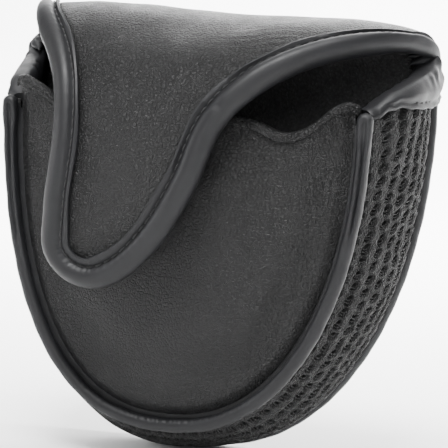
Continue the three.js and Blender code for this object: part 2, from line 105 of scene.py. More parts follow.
def bump(v, centre, width):
    return np.exp(-(((v - centre) / width) ** 2))


def unit(v):
    return v / np.maximum(np.linalg.norm(v, axis=-1, keepdims=True), 1e-9)


def uneven(points, size, seed, count=8):
    """Smooth, repeatable unevenness about 1 high, with hills about size mm across."""
    dice = np.random.default_rng(seed)
    total = np.zeros(points.shape[:-1])
    for _ in range(count):
        way = dice.normal(size=points.shape[-1])
        way *= dice.uniform(0.6, 1.3) * math.pi / size / np.linalg.norm(way)
        total += np.sin(points @ way + dice.uniform(0, 2 * math.pi))
    return total / math.sqrt(count)


class Path:
    """A curve by length: through given points, or along a dense polyline."""

    def __init__(self, points, dense=False):
        self.points = np.array(points, float) if dense else rounded(points)
        step = np.linalg.norm(np.diff(self.points, axis=0), axis=1)
        self.lengths = np.r_[0, np.cumsum(step)]
        self.length = self.lengths[-1]

    def at(self, distance):
        columns = [np.interp(distance, self.lengths, c) for c in self.points.T]
        return np.stack(columns, -1)


def rounded(points, per=60):
    """Centripetal Catmull-Rom samples through the points."""
    given = np.array(points, float)
    given = np.vstack([2 * given[0] - given[1], given, 2 * given[-1] - given[-2]])
    samples = []
    for i in range(1, len(given) - 2):
        p0, p1, p2, p3 = given[i - 1 : i + 3]
        d0, d1, d2 = (np.sum((b - a) ** 2) ** 0.25 for a, b in ((p0, p1), (p1, p2), (p2, p3)))
        t1 = ((p1 - p0) / d0 - (p2 - p0) / (d0 + d1) + (p2 - p1) / d1) * d1
        t2 = ((p2 - p1) / d1 - (p3 - p1) / (d1 + d2) + (p3 - p2) / d2) * d1
        last = i == len(given) - 3
        u = (np.arange(per + last) / per)[:, None]
        samples.append(
            p1 + t1 * u + (-3 * p1 + 3 * p2 - 2 * t1 - t2) * u**2 + (2 * p1 - 2 * p2 + t1 + t2) * u**3
        )
    return np.vstack(samples)


def nearest(points, line):
    """Distance from each 2-D point to a dense polyline."""
    flat = points.reshape(-1, 2)
    best = np.full(len(flat), 1e9)
    for start in range(0, len(line), 50):
        gap = np.linalg.norm(flat[:, None] - line[None, start : start + 50], axis=2)
        best = np.minimum(best, gap.min(1))
    return best.reshape(points.shape[:-1])


# Meshes -------------------------------------------------------------------------------------
def grid_faces(rows, cols, start=0, wrap=False):
    r, c = np.meshgrid(np.arange(rows - 1), np.arange(cols if wrap else cols - 1), indexing="ij")
    d = (c + 1) % cols
    quads = np.stack([r * cols + c, r * cols + d, (r + 1) * cols + d, (r + 1) * cols + c], -1)
    return (quads.reshape(-1, 4) + start).tolist()


def slab(outer, inner):
    """A closed sheet between two grids of the same size: points, faces, and which faces are inner."""
    rows, cols = outer.shape[:2]
    half = rows * cols
    faces = grid_faces(rows, cols)
    inside = grid_faces(rows, cols, half)
    border = (
        [c for c in range(cols)]
        + [r * cols + cols - 1 for r in range(1, rows)]
        + [(rows - 1) * cols + c for c in range(cols - 2, -1, -1)]
        + [r * cols for r in range(rows - 2, 0, -1)]
    )
    walls = [(a, b, b + half, a + half) for a, b in zip(border, border[1:] + border[:1])]
    points = np.vstack([outer.reshape(-1, 3), inner.reshape(-1, 3)])
    return points, faces + inside + walls, [0] * len(faces) + [1] * (len(inside) + len(walls))


def tube(rings, ends=True):
    """A skin through closed rings of points, with its two ends closed to their middles."""
    count, size = rings.shape[:2]
    faces = grid_faces(count, size, wrap=True)
    points = rings.reshape(-1, 3)
    if ends:
        middles = np.array([rings[0].mean(0), rings[-1].mean(0)])
        points = np.vstack([points, middles])
        last = (count - 1) * size
        for k in range(size):
            m = (k + 1) % size
            faces.append((k, count * size, m))
            faces.append((last + k, last + m, count * size + 1))
    return points, faces


def together(parts):
    """Several (points, faces) as one."""
    points, faces, start = [], [], 0
    for p, f in parts:
        points.append(p)
        faces += [tuple(i + start for i in face) for face in f]
        start += len(p)
    return np.vstack(points), faces


def make(name, shape, materials, cloth=None):
    """A mesh object in the row frame from design points, faces and a material for each face."""
    points, faces = shape[:2]
    mesh = bpy.data.meshes.new(name)
    mesh.from_pydata((points * 0.001 + ORIGIN).tolist(), [], faces)
    materials = materials if isinstance(materials, list) else [materials]
    for m in materials:
        mesh.materials.append(m)
    if len(shape) > 2 and len(materials) > 1:
        mesh.polygons.foreach_set("material_index", np.array(shape[2], np.int32))
    if cloth is not None:
        attribute = mesh.attributes.new("cloth", "FLOAT_VECTOR", "POINT")
        attribute.data.foreach_set("vector", np.asarray(cloth, np.float32).ravel())
    piece = bpy.data.objects.new(name, mesh)
    bpy.context.scene.collection.objects.link(piece)
    tidy = bmesh.new()
    tidy.from_mesh(mesh)
    bmesh.ops.remove_doubles(tidy, verts=tidy.verts, dist=2e-6)
    bmesh.ops.recalc_face_normals(tidy, faces=tidy.faces)
    tidy.to_mesh(mesh)
    tidy.free()
    mesh.polygons.foreach_set("use_smooth", [True] * len(mesh.polygons))
    return piece


def normals_of(grid):
    """Unit normals of a grid of points (rows, cols, 3)."""
    return unit(np.cross(np.gradient(grid, axis=0), np.gradient(grid, axis=1)))


def settle(grid, held, pressure, slack=0.0, cap=3.0, frames=20, outward=None):
    """Cloth held where held is 1 puffs under pressure; gives how far each point moved, in mm."""
    rows, cols = grid.shape[:2]
    normal = normals_of(grid)
    flip = float((normal * outward).sum(-1).mean()) < 0
    faces = grid_faces(rows, cols)
    if flip:
        faces = [f[::-1] for f in faces]
    mesh = bpy.data.meshes.new("settling")
    mesh.from_pydata((grid.reshape(-1, 3) * 0.001).tolist(), [], faces)
    piece = bpy.data.objects.new("settling", mesh)
    bpy.context.scene.collection.objects.link(piece)
    group = piece.vertex_groups.new(name="held")
    for i, weight in enumerate(held.ravel()):
        if weight > 0:
            group.add([i], float(weight), "REPLACE")
    cloth = piece.modifiers.new("cloth", "CLOTH")
    s = cloth.settings
    s.quality = 6
    s.mass = 0.3
    s.vertex_group_mass = "held"
    s.use_pressure = True
    s.uniform_pressure_force = pressure
    s.shrink_min = -slack
    s.effector_weights.gravity = 0
    cloth.collision_settings.use_collision = False
    cloth.point_cache.frame_start = 1
    cloth.point_cache.frame_end = frames
    scene = bpy.context.scene
    for number in range(1, frames + 1):
        scene.frame_set(number)
    shown = piece.evaluated_get(bpy.context.evaluated_depsgraph_get())
    moved = np.zeros(rows * cols * 3, np.float32)
    shown.data.vertices.foreach_get("co", moved)
    moved = moved.reshape(grid.shape).astype(float) * 1000 - grid
    bpy.data.objects.remove(piece)
    scene.frame_set(1)
    for _ in range(12):  # the cloth's finest ripples are smaller than the grain, and are left out
        moved[1:-1] = (moved[:-2] + 2 * moved[1:-1] + moved[2:]) / 4
        moved[:, 1:-1] = (moved[:, :-2] + 2 * moved[:, 1:-1] + moved[:, 2:]) / 4
    length = np.linalg.norm(moved, axis=-1, keepdims=True)
    return moved * np.minimum(1, cap / np.maximum(length, 1e-6))


# Materials ----------------------------------------------------------------------------------
class Finish:
    """A procedural material under construction."""

    def __init__(self, name, roughness, specular=0.5, sheen=0.0, coat=0.0):
        self.material = bpy.data.materials.new(name)
        self.material.use_nodes = True
        self.nodes = self.material.node_tree.nodes
        self.links = self.material.node_tree.links
        self.shader = self.nodes["Principled BSDF"]
        self.shader.inputs["Roughness"].default_value = roughness
        self.shader.inputs["Specular IOR Level"].default_value = specular
        self.shader.inputs["Sheen Weight"].default_value = sheen
        self.shader.inputs["Sheen Roughness"].default_value = 0.5
        self.shader.inputs["Coat Weight"].default_value = coat
        self.shader.inputs["Coat Roughness"].default_value = 0.35
        self.place = self.add("ShaderNodeTexCoord").outputs["Object"]
        self.heights = []

    def add(self, kind, inputs=(), **settings):
        node = self.nodes.new(kind)
        for key, value in settings.items():
            setattr(node, key, value)
        for key, value in dict(inputs).items():
            if isinstance(value, bpy.types.NodeSocket):
                self.links.new(value, node.inputs[key])
            else:
                node.inputs[key].default_value = value
        return node

    def sum(self, a, b, share=1.0):
        made = self.add("ShaderNodeMath", {0: b, 1: share, 2: a}, operation="MULTIPLY_ADD")
        return made.outputs[0]

    def noise(self, size, detail=3.0, place=None, roughness=0.55):
        """Noise with hills about size metres across."""
        made = self.add(
            "ShaderNodeTexNoise",
            {"Vector": place or self.place, "Scale": 1 / size, "Detail": detail, "Roughness": roughness},
        )
        return made.outputs["Fac"]

    def cells(self, size, feature="F1", place=None, jitter=1.0):
        """Cells about size metres across, 0 at their middles."""
        made = self.add(
            "ShaderNodeTexVoronoi",
            {"Vector": place or self.place, "Scale": 1 / size, "Randomness": jitter},
            feature=feature,
        )
        return made.outputs["Distance"]

    def bent(self, size, amount, place=None):
        """Coordinates pushed about by noise, so that cells and threads aren't regular."""
        wander = self.add(
            "ShaderNodeTexNoise", {"Vector": place or self.place, "Scale": 1 / size, "Detail": 2.0}
        )
        middle = self.add(
            "ShaderNodeVectorMath",
            {0: wander.outputs["Color"], 1: (0.5, 0.5, 0.5)},
            operation="SUBTRACT",
        )
        scaled = self.add(
            "ShaderNodeVectorMath", {0: middle.outputs[0], "Scale": amount}, operation="SCALE"
        )
        moved = self.add(
            "ShaderNodeVectorMath", {0: place or self.place, 1: scaled.outputs[0]}, operation="ADD"
        )
        return moved.outputs[0]

    def levels(self, value, start, end, low, high):
        made = self.add(
            "ShaderNodeMapRange",
            {"Value": value, "From Min": start, "From Max": end, "To Min": low, "To Max": high},
        )
        return made.outputs["Result"]

    def colour(self, value, dark, light):
        made = self.add("ShaderNodeMix", {"Factor": value}, data_type="RGBA")
        made.inputs[6].default_value = (*dark, 1)
        made.inputs[7].default_value = (*light, 1)
        self.links.new(made.outputs[2], self.shader.inputs["Base Color"])

    def roughness(self, value, low, high):
        self.links.new(self.levels(value, 0.25, 0.75, low, high), self.shader.inputs["Roughness"])

    def relief(self, height, depth, strength=1.0):
        """Bump of that depth in metres, on top of what is there."""
        inputs = {"Height": height, "Distance": depth, "Strength": strength}
        if self.heights:
            inputs["Normal"] = self.heights[-1]
        made = self.add("ShaderNodeBump", inputs)
        self.heights.append(made.outputs["Normal"])
        self.links.new(made.outputs["Normal"], self.shader.inputs["Normal"])


def leather_finish(name, dark, light, rough, grain, depth, coat=0.0):
    """Coated leather: pebbles of about grain metres with fine creases between, and tiny pores."""
    f = Finish(name, sum(rough) / 2, 0.3, coat=coat)
    wandering = f.bent(grain * 2.2, grain * 1.2)
    pebbles = f.cells(grain, "DISTANCE_TO_EDGE", wandering)
    fine = f.cells(grain * 0.42, "DISTANCE_TO_EDGE", f.bent(grain, grain * 0.5))
    creases = f.noise(grain * 1.6, 4.0, f.bent(grain * 6, grain * 4))
    cloudy = f.noise(0.02, 4.0)
    rubbed = f.noise(0.006, 3.0)
    lines = f.levels(pebbles, 0.0, 0.16, 0.0, 1.0)
    f.relief(creases, depth, 0.8)
    f.relief(lines, depth, 1.0)
    f.relief(f.levels(fine, 0.0, 0.2, 0.0, 1.0), depth * 0.35, 0.8)
    f.colour(f.sum(f.levels(lines, 0.0, 1.0, 0.0, 0.35), cloudy, 0.6), dark, light)
    f.roughness(f.sum(f.levels(rubbed, 0.3, 0.7, 0.0, 0.4), cloudy, 0.6), *rough)
    return f.material


def smooth_leather_finish(name, dark, light, rough):
    """Thin smooth leather, as binding and piping are made of: faint pores and stretch marks."""
    f = Finish(name, sum(rough) / 2, 0.3)
    f.relief(f.noise(0.0045, 2.0), 0.00008, 0.5)
    f.relief(f.cells(0.00055, "F1", f.bent(0.002, 0.0008)), 0.00003, 0.7)
    cloudy = f.noise(0.012, 4.0)
    f.colour(cloudy, dark, light)
    f.roughness(f.noise(0.004, 3.0), *rough)
    return f.material


def plush_finish(name, dark, light):
    """Short brushed pile."""
    f = Finish(name, 0.95, 0.15, sheen=0.12)
    tufts = f.cells(0.0009, "F1", f.bent(0.0015, 0.0012))
    lying = f.noise(0.006, 3.0)
    f.relief(lying, 0.0008, 0.6)
    f.relief(f.levels(tufts, 0.0, 0.8, 1.0, 0.0), 0.0004, 1.0)
    f.relief(f.noise(0.0004, 2.0), 0.00025, 0.8)
    f.colour(f.sum(f.levels(tufts, 0.1, 0.7, 0.5, 0.0), lying, 0.5), dark, light)
    return f.material


def foam_finish(name):
    """Open-pored foam, as it shows at a cut edge."""
    f = Finish(name, 0.95, 0.2)
    pores = f.cells(0.0007)
    f.relief(pores, 0.0003, 0.9)
    f.colour(f.levels(pores, 0.0, 0.7, 0.0, 1.0), (0.03, 0.03, 0.032), (0.11, 0.11, 0.115))
    return f.material


def knit_finish(name, dark, light):
    """Knitted yarn: fine loops along the fabric, from the piece's own cloth coordinates in metres."""
    f = Finish(name, 0.72, 0.35, sheen=0.05)
    own = f.add("ShaderNodeAttribute", attribute_name="cloth").outputs["Vector"]
    strands = f.bent(0.003, 0.0009, own)
    loops = f.add(
        "ShaderNodeTexWave",
        {"Vector": strands, "Scale": 520.0, "Distortion": 3.0, "Detail": 2.0, "Detail Scale": 2.0},
        bands_direction="Y",
    ).outputs["Fac"]
    stitches = f.cells(0.00062, "F1", strands)
    f.relief(loops, 0.0003, 1.0)
    f.relief(f.levels(stitches, 0.0, 0.7, 1.0, 0.0), 0.00035, 1.0)
    patches = f.noise(0.0012, 3.0, own)
    tone = f.sum(f.sum(f.levels(stitches, 0.0, 0.6, 0.45, -0.2), loops, 0.35), patches, 0.3)
    f.colour(tone, dark, light)
    f.roughness(f.noise(0.003), 0.6, 0.85)
    return f.material


def thread_finish(name, dark, light):
    f = Finish(name, 0.6, 0.4, sheen=0.1)
    turns = {"Vector": f.place, "Scale": 900.0, "Distortion": 1.0}
    twist = f.add("ShaderNodeTexWave", turns, bands_direction="DIAGONAL").outputs["Fac"]
    f.relief(twist, 0.0001, 0.8)
    f.colour(twist, dark, light)
    return f.material


def web_finish(name, dark, light):
    """Flat woven webbing."""
    f = Finish(name, 0.8, 0.3)
    warp = f.add("ShaderNodeTexWave", {"Vector": f.place, "Scale": 420.0}, bands_direction="X")
    weft = f.add("ShaderNodeTexWave", {"Vector": f.place, "Scale": 420.0}, bands_direction="Z")
    woven = f.add(
        "ShaderNodeMath", {0: warp.outputs["Fac"], 1: weft.outputs["Fac"]}, operation="MULTIPLY"
    ).outputs[0]
    f.relief(woven, 0.0002, 0.8)
    f.colour(f.sum(woven, f.noise(0.004), 0.4), dark, light)
    return f.material


GRAINED = leather_finish(
    "grained_leather", (0.0012, 0.0012, 0.0014), (0.006, 0.006, 0.0063), (0.38, 0.52), 0.0011, 0.00026
)
SMOOTH = smooth_leather_finish(
    "smooth_leather", (0.0035, 0.0036, 0.0042), (0.0085, 0.0087, 0.0102), (0.46, 0.58)
)
PLUSH = plush_finish("plush", (0.022, 0.022, 0.022), (0.05, 0.05, 0.051))
FOAM_GREY = foam_finish("foam")
KNIT = knit_finish("spacer_mesh", (0.0012, 0.0012, 0.0013), (0.020, 0.020, 0.0204))
THREAD = thread_finish("thread", (0.006, 0.006, 0.0062), (0.022, 0.022, 0.0225))
WEBBING = web_finish("webbing", (0.005, 0.005, 0.005), (0.02, 0.02, 0.0205))
CORD = thread_finish("cord", (0.35, 0.34, 0.31), (0.72, 0.71, 0.67))


# The pocket's outlines ----------------------------------------------------------------------
def lean(drop):
    return LEAN * clamp(drop) ** 1.5


def depth_at(drop):
    return mix(DEPTH_TOP, DEPTH_BOTTOM, clamp(drop, -0.1, 1))


def outline(half_width, drop, samples=720):
    """(x, z) of a D outline from its right end round the bottom to its left end, without the lean."""
    angle = np.linspace(0, math.pi, samples)
    c, s = np.cos(angle), np.sin(angle)
    x = half_width * np.sign(c) * np.abs(c) ** (2 / OUTLINE_POWER)
    return np.stack([x, -drop * s ** (2 / OUTLINE_POWER)], 1)


def outline_path(half_width, drop, y_at, rise=0.0):
    x, z = outline(half_width, drop).T
    points = np.stack([x - lean(-z / drop), np.broadcast_to(y_at(-z / drop), x.shape), z], 1)
    if rise > 0:
        top = np.linspace(rise, 0, 12)[:-1, None]
        y = float(y_at(0.0))
        right = np.hstack([np.full_like(top, half_width), np.full_like(top, y), top])
        left = right[::-1] * [-1, 1, 1]
        points = np.vstack([right, points, left])
    return Path(points, dense=True)


# Front panel --------------------------------------------------------------------------------
LIP = rounded(
    [
        (-53.5, 3), (-50.5, 6), (-44, 3.6), (-36, -1.2), (-27, -3.4), (-10, -2.6), (8, -2),
        (20, -3), (31.5, -6.8), (39, -4.3), (45, 0.6), (49, 2.2), (53.5, 1.6),
    ]
)


def lip_height(x):
    return np.interp(x, LIP[:, 0], LIP[:, 1])


def crown(x, z):
    a = FRONT_HALF_WIDTH - SEAM_SETBACK
    h = FRONT_DROP - SEAM_SETBACK
    level = (np.abs(x / a) ** OUTLINE_POWER + np.abs(np.minimum(z, 0) / h) ** OUTLINE_POWER) ** (
        1 / OUTLINE_POWER
    )
    near_mouth = mix(0.35, 1, smooth((8 - z) / 30))
    return DOME * near_mouth * clamp(1 - level**3) ** 0.75


FRONT_BORDER = outline(FRONT_HALF_WIDTH - SEAM_SETBACK, FRONT_DROP - SEAM_SETBACK)
LIP_FOAM = 0.2
LIP_RISE = 0.5  # the turned edge stands this far above the panel's own edge
LIP_CUT = 1.6


def lip_taper(x, z):
    return mix(LIP_FOAM, 1, smooth((lip_height(x) - z - 6) / 10))


def front_relief(x, z):
    """How far the padded panel stands out of its plain crown: it dives into the seam, and puckers there."""
    flat = np.stack([x, z], -1)
    inward = nearest(flat, FRONT_BORDER)
    dive = -1.35 * (1 - smooth(inward / 3.6)) ** 1.5
    around = np.arctan2(z + 30, x)
    puckers = 0.16 * np.sin(around * 95 + 2.0 * np.sin(around * 17)) * np.exp(-inward / 3.0)
    puckers *= 0.35 + 0.65 * (0.5 + 0.5 * np.sin(around * 9 + 1.0))
    waves = 0.35 * uneven(flat, 26, 3) * smooth(inward / 12)
    shoulder = 1.1 * bump(x, 33, 14) * bump(z, 2, 22)
    notch = -0.7 * bump(x, 30, 7) * bump(z, -8, 7)
    corner = 0.35 * np.sin(1.3 * x + 0.9 * z) * bump(x, 46, 5) * bump(z, -2, 8)
    under_tongue = -0.8 * smooth((16 - x) / 20) * smooth((x + 46) / 10) * smooth((z + 62) / 22)
    return dive + puckers + waves + shoulder + notch + corner + under_tongue


def front_point(x, z, depth):
    drop = -z / FRONT_DROP
    y = -depth_at(drop) - crown(x, z) + depth
    return np.stack([x - lean(drop), np.broadcast_to(y, x.shape), z], -1)


def front_grid(cols, rows, setback, top_setback, depth_at_point):
    a = FRONT_HALF_WIDTH - SEAM_SETBACK - setback
    h = FRONT_DROP - SEAM_SETBACK - setback
    border = Path(outline(a, h), dense=True)
    edge = border.at(np.linspace(0, border.length, cols))
    lip_x = np.linspace(a, -a, cols)
    lip = np.stack([lip_x, lip_height(lip_x) - top_setback], 1)
    share = np.sin(np.linspace(0, math.pi / 2, rows)) * 0.45 + np.linspace(0, 1, rows) * 0.55
    flat = mix(lip[None], edge[None], share[:, None, None])
    x, z = flat[..., 0], flat[..., 1]
    return front_point(x, z, depth_at_point(x, z)), flat


# Back panel ---------------------------------------------------------------------------------
def back_grid(cols, rows, setback, top, depth):
    a = BACK_HALF_WIDTH - 2 * PIPING_RADIUS - 0.6 - setback
    h = BACK_DROP - 2 * PIPING_RADIUS - 0.6 - setback
    edge_path = outline_path(a, h, lambda d: 0 * d, top)
    edge = edge_path.at(np.linspace(0, edge_path.length, cols))[:, [0, 2]]
    top_line = np.stack([np.linspace(a, -a, cols), np.full(cols, top)], 1)
    share = np.sin(np.linspace(0, math.pi / 2, rows)) * 0.5 + np.linspace(0, 1, rows) * 0.5
    flat = mix(top_line[None], edge[None], share[:, None, None])
    y = -depth + 0 * flat[..., 0]
    return np.stack([flat[..., 0], y, flat[..., 1]], -1), flat, edge


# Gusset -------------------------------------------------------------------------------------
GUSSET_FRONT = outline_path(FRONT_HALF_WIDTH - 1.2, FRONT_DROP - 1.2, lambda d: -depth_at(d) + 2.7)
GUSSET_BACK = outline_path(
    BACK_HALF_WIDTH - 1.2, BACK_DROP - 1.2, lambda d: -5.4 + 0 * d, CORNER_HEIGHT - 3
)
GUSSET_LENGTH = (GUSSET_FRONT.length + GUSSET_BACK.length) / 2
GUSSET_WIDTH = 31.5


def gusset_point(u, w, depth):
    """u runs 0 to 1 round the gusset from its right end, w 0 to 1 from front to back."""
    front = GUSSET_FRONT.at(u * GUSSET_FRONT.length)
    back = GUSSET_BACK.at(u * GUSSET_BACK.length)
    step = 0.012
    ahead = GUSSET_FRONT.at(clamp(u + step) * GUSSET_FRONT.length)
    behind = GUSSET_FRONT.at(clamp(u - step) * GUSSET_FRONT.length)
    outward = unit(np.cross(ahead - behind, back - front))
    w = np.asarray(w)[..., None]
    lift = gusset_bulge(u) * np.sin(math.pi * w) - np.asarray(depth)[..., None]
    return mix(front, back, w) + outward * lift


def gusset_bulge(u):
    """The gusset swells outwards, more at its right end and hardly at its left one."""
    u = np.asarray(u)[..., None]
    return GUSSET_BULGE + 1.3 * (1 - smooth(u / 0.14)) - 2.7 * smooth((u - 0.86) / 0.14)


def mouth_edge(side, w):
    """Frames along an upper end of the gusset: place, down the gusset, and out of it."""
    end, following = (0.0, 0.012) if side > 0 else (1.0, 0.988)
    place = gusset_point(np.full_like(w, end), w, np.zeros_like(w))
    below = gusset_point(np.full_like(w, following), w, np.zeros_like(w)) - place
    along = unit(np.gradient(place, axis=0))
    down = unit(below - along * (below * along).sum(-1, keepdims=True))
    out = np.cross(along, down)
    out *= np.sign(out[..., :1] * side)
    return place, down, out


# Flap ---------------------------------------------------------------------------------------
PROFILE = Path(
    [
        (0, 17), (-0.1, 20), (-6.2, 24.7), (-18, 26.5), (-31, 24), (-42.5, 16), (-51, 4),
        (-54.8, -10), (-55.4, -24), (-54, -40), (-52, -57),
    ]
)
EDGE = Path(
    [
        (-64, 23), (-58, 27.5), (-49.5, 42), (-39.8, 56.4), (-35.6, 66.5), (-34, 80), (-36, 100.4),
        (-36.2, 113.5), (-30, 121.2), (-20.5, 123.4), (-11, 119.4), (0.2, 108.3), (10, 91.6),
        (16.2, 75.2), (25.2, 63.8), (38.5, 52.8), (51, 47.6), (64, 45),
    ]
)
TONGUE_TIP = EDGE.points[:, 1].argmax()


def arch_scale(x):
    right = clamp((x - 30) / 35)
    left = clamp((-45 - x) / 20)
    return np.sqrt(1 - right**2) * np.sqrt(1 - left**2)


def flap_point(x, s):
    s = np.asarray(s, float)
    y, z = np.moveaxis(PROFILE.at(np.maximum(s, 0)), -1, 0)
    k = arch_scale(x)
    sway = 1.6 * np.cos(math.pi * (x + 45) / 66) * np.sin(math.pi * clamp(s / 58)) * k
    x = np.broadcast_to(x, sway.shape)
    return np.stack([x, y * k, CORNER_HEIGHT + (z - CORNER_HEIGHT) * k + sway + np.minimum(s, 0)], -1)


def flap_normal(x, s):
    step = 0.4
    across = flap_point(x + step, s) - flap_point(x - step, s)
    along = flap_point(x, s + step) - flap_point(x, s - step)
    return -unit(np.cross(across, along))


def on_flap(x, s, out):
    return flap_point(x, s) + flap_normal(x, s) * np.asarray(out)[..., None]


def edge_frames(distance):
    """Points (x, s) along the flap's free edge, and the way inwards there, 1 mm long on the surface."""
    points = EDGE.at(distance)
    ahead = EDGE.at(distance + 0.25) - EDGE.at(distance - 0.25)
    k = np.maximum(arch_scale(points[..., 0]), 0.3)
    dx, ds = ahead[..., 0], ahead[..., 1] * k
    n = np.hypot(dx, ds)
    return points, np.stack([ds / n, -dx / (n * k)], -1)


def inset_edge(distance, samples=900):
    points, inwards = edge_frames(np.linspace(0.01, EDGE.length - 0.01, samples))
    return points + inwards * distance


# Pieces: front of the pocket ------------------------------------------------------------------
def edges_held(grid, top, bottom, sides):
    """1 on the outer rows and columns of a grid, 0 inside, with a short fade."""
    rows, cols = grid.shape[:2]
    r, c = np.meshgrid(np.arange(rows), np.arange(cols), indexing="ij")
    inside = np.minimum(np.minimum(r / top, (rows - 1 - r) / bottom), np.minimum(c, cols - 1 - c) / sides)
    return clamp(1.2 - inside)


def lookup(flat, moved):
    """Reads a field known at a grid's flat points anywhere near them."""
    tree_points = flat.reshape(-1, 2)
    values = moved.reshape(len(tree_points), -1)

    def read(x, z):
        wanted = np.stack([x, z], -1).reshape(-1, 2)
        found = []
        for start in range(0, len(wanted), 400):
            gap = np.linalg.norm(wanted[start : start + 400, None] - tree_points[None], axis=2)
            near = np.argpartition(gap, 4, axis=1)[:, :4]
            weight = 1 / (np.take_along_axis(gap, near, 1) + 0.05)
            found.append((values[near] * weight[..., None]).sum(1) / weight.sum(1, keepdims=True))
        return np.vstack(found).reshape(*x.shape, -1)

    return read


FRONT_COLS, FRONT_ROWS = 181, 91
front_plain, FRONT_FLAT = front_grid(FRONT_COLS, FRONT_ROWS, 0, LIP_CUT, lambda x, z: 0 * x)
front_moved = settle(
    front_plain,
    edges_held(front_plain, 4, 3, 3),
    pressure=2.5,
    slack=0.004,
    cap=2.0,
    outward=np.array([0, -1.0, 0]),
)
front_settled = lookup(FRONT_FLAT[::3, ::3], front_moved[::3, ::3])


def front_surface(x, z, depth, settled=True):
    """The front panel as it lies, depth millimetres behind its outer face."""
    x, z = np.broadcast_arrays(np.asarray(x, float), np.asarray(z, float))
    point = front_point(x, z, depth)
    point[..., 1] -= front_relief(x, z)
    return point + front_settled(x, z) if settled else point


def front_pad():
    x, z = FRONT_FLAT[..., 0], FRONT_FLAT[..., 1]
    outer = front_surface(x, z, 0, settled=False) + front_moved
    thick = LEATHER + GAP + FOAM * lip_taper(x, z)
    inner = front_point(x, z, thick) + front_moved * 0.5
    return make("front_pad", slab(outer, inner), [GRAINED, FOAM_GREY])


def lining_sheet(name, outer, inner, seed):
    """Plush, its pile uneven on the side away from the padding."""
    lie = 0.16 * uneven(inner, 5, seed) + 0.1 * uneven(inner, 1.7, seed + 1)
    way = unit(inner - outer)
    return make(name, slab(outer, inner + way * lie[..., None]), PLUSH)


def front_lining():
    cols, rows = 121, 61

    def start(x, z):
        return LEATHER + 2 * GAP + FOAM * lip_taper(x, z)

    outer, flat = front_grid(cols, rows, 1.2, LIP_CUT, start)
    inner, flat = front_grid(cols, rows, 1.2, LIP_CUT, lambda x, z: start(x, z) + LINING)
    shift = front_settled(flat[..., 0], flat[..., 1]) * 0.5
    return lining_sheet("front_lining_plush", outer + shift, inner + shift, 11)


def folded_section(outer_leg, inner_leg, thick, laminate, count=40):
    """A strip folded over an edge, as (down from the edge, out of the laminate) points."""
    out = GAP + thick
    inn = -laminate - GAP - thick
    middle = -laminate / 2
    corners = [
        (outer_leg, GAP + 0.05), (outer_leg - 0.15, out), (outer_leg * 0.6, out + 0.1), (2.2, out),
        (0.9, out - 0.35), (0.2, out - 1.1), (0, middle), (0.2, inn + 1.1), (0.9, inn + 0.35),
        (2.2, inn), (inner_leg - 0.1, inn), (inner_leg, inn + thick), (2.4, inn + thick),
        (1.2, middle), (2.2, GAP), (outer_leg * 0.6, GAP), (outer_leg, GAP + 0.1),
    ]
    path = Path(corners)
    return path.at(np.linspace(0, path.length, count + 1)[:-1])


def front_edge():
    laminate = LEATHER + 2 * GAP + FOAM * LIP_FOAM + LINING
    section = folded_section(3.0, 4.8, 0.4, laminate)
    x = np.linspace(-51.2, 51.2, 260)[:, None]
    down, out = section[None, :, 0], section[None, :, 1]
    puff = 0.1 * np.sin(x * 0.9 + 1.4 * np.sin(x * 0.23)) * bump(down, 1.8, 1.2) * (out > 0)
    top = lip_height(x) + LIP_RISE + 0.2 * np.sin(x * 0.31)
    tuck = 0.6 * smooth((np.abs(x) - 48.0) / 3.2)
    rings = front_surface(x + 0 * down, top - down - tuck, 0)
    rings[..., 1] -= (out + puff) * (1 - 0.3 * tuck) - tuck * 0.9
    return make("front_edge_strip", tube(rings), GRAINED)


# Piping -------------------------------------------------------------------------------------
def piping_frames(path, count, face):
    distance = np.linspace(0, path.length, count)
    place = path.at(distance)
    along = unit(path.at(distance + 0.3) - path.at(distance - 0.3))
    away = place * [1, 0, 1] - [0, 0, -20]
    a = unit(away - along * (away * along).sum(-1, keepdims=True))
    b = np.cross(along, a)
    b *= np.sign(b[:, 1:2] * face)
    return distance, place, a, b


def piping_path(half_width, drop, y_at, rise):
    return outline_path(half_width - PIPING_RADIUS, drop - PIPING_RADIUS, y_at, rise)


FRONT_PIPING = piping_path(FRONT_HALF_WIDTH, FRONT_DROP, lambda d: -depth_at(d), 0)
BACK_PIPING = piping_path(
    BACK_HALF_WIDTH, BACK_DROP, lambda d: -PIPING_RADIUS - 0.2 + 0 * d, CORNER_HEIGHT - 1.0
)


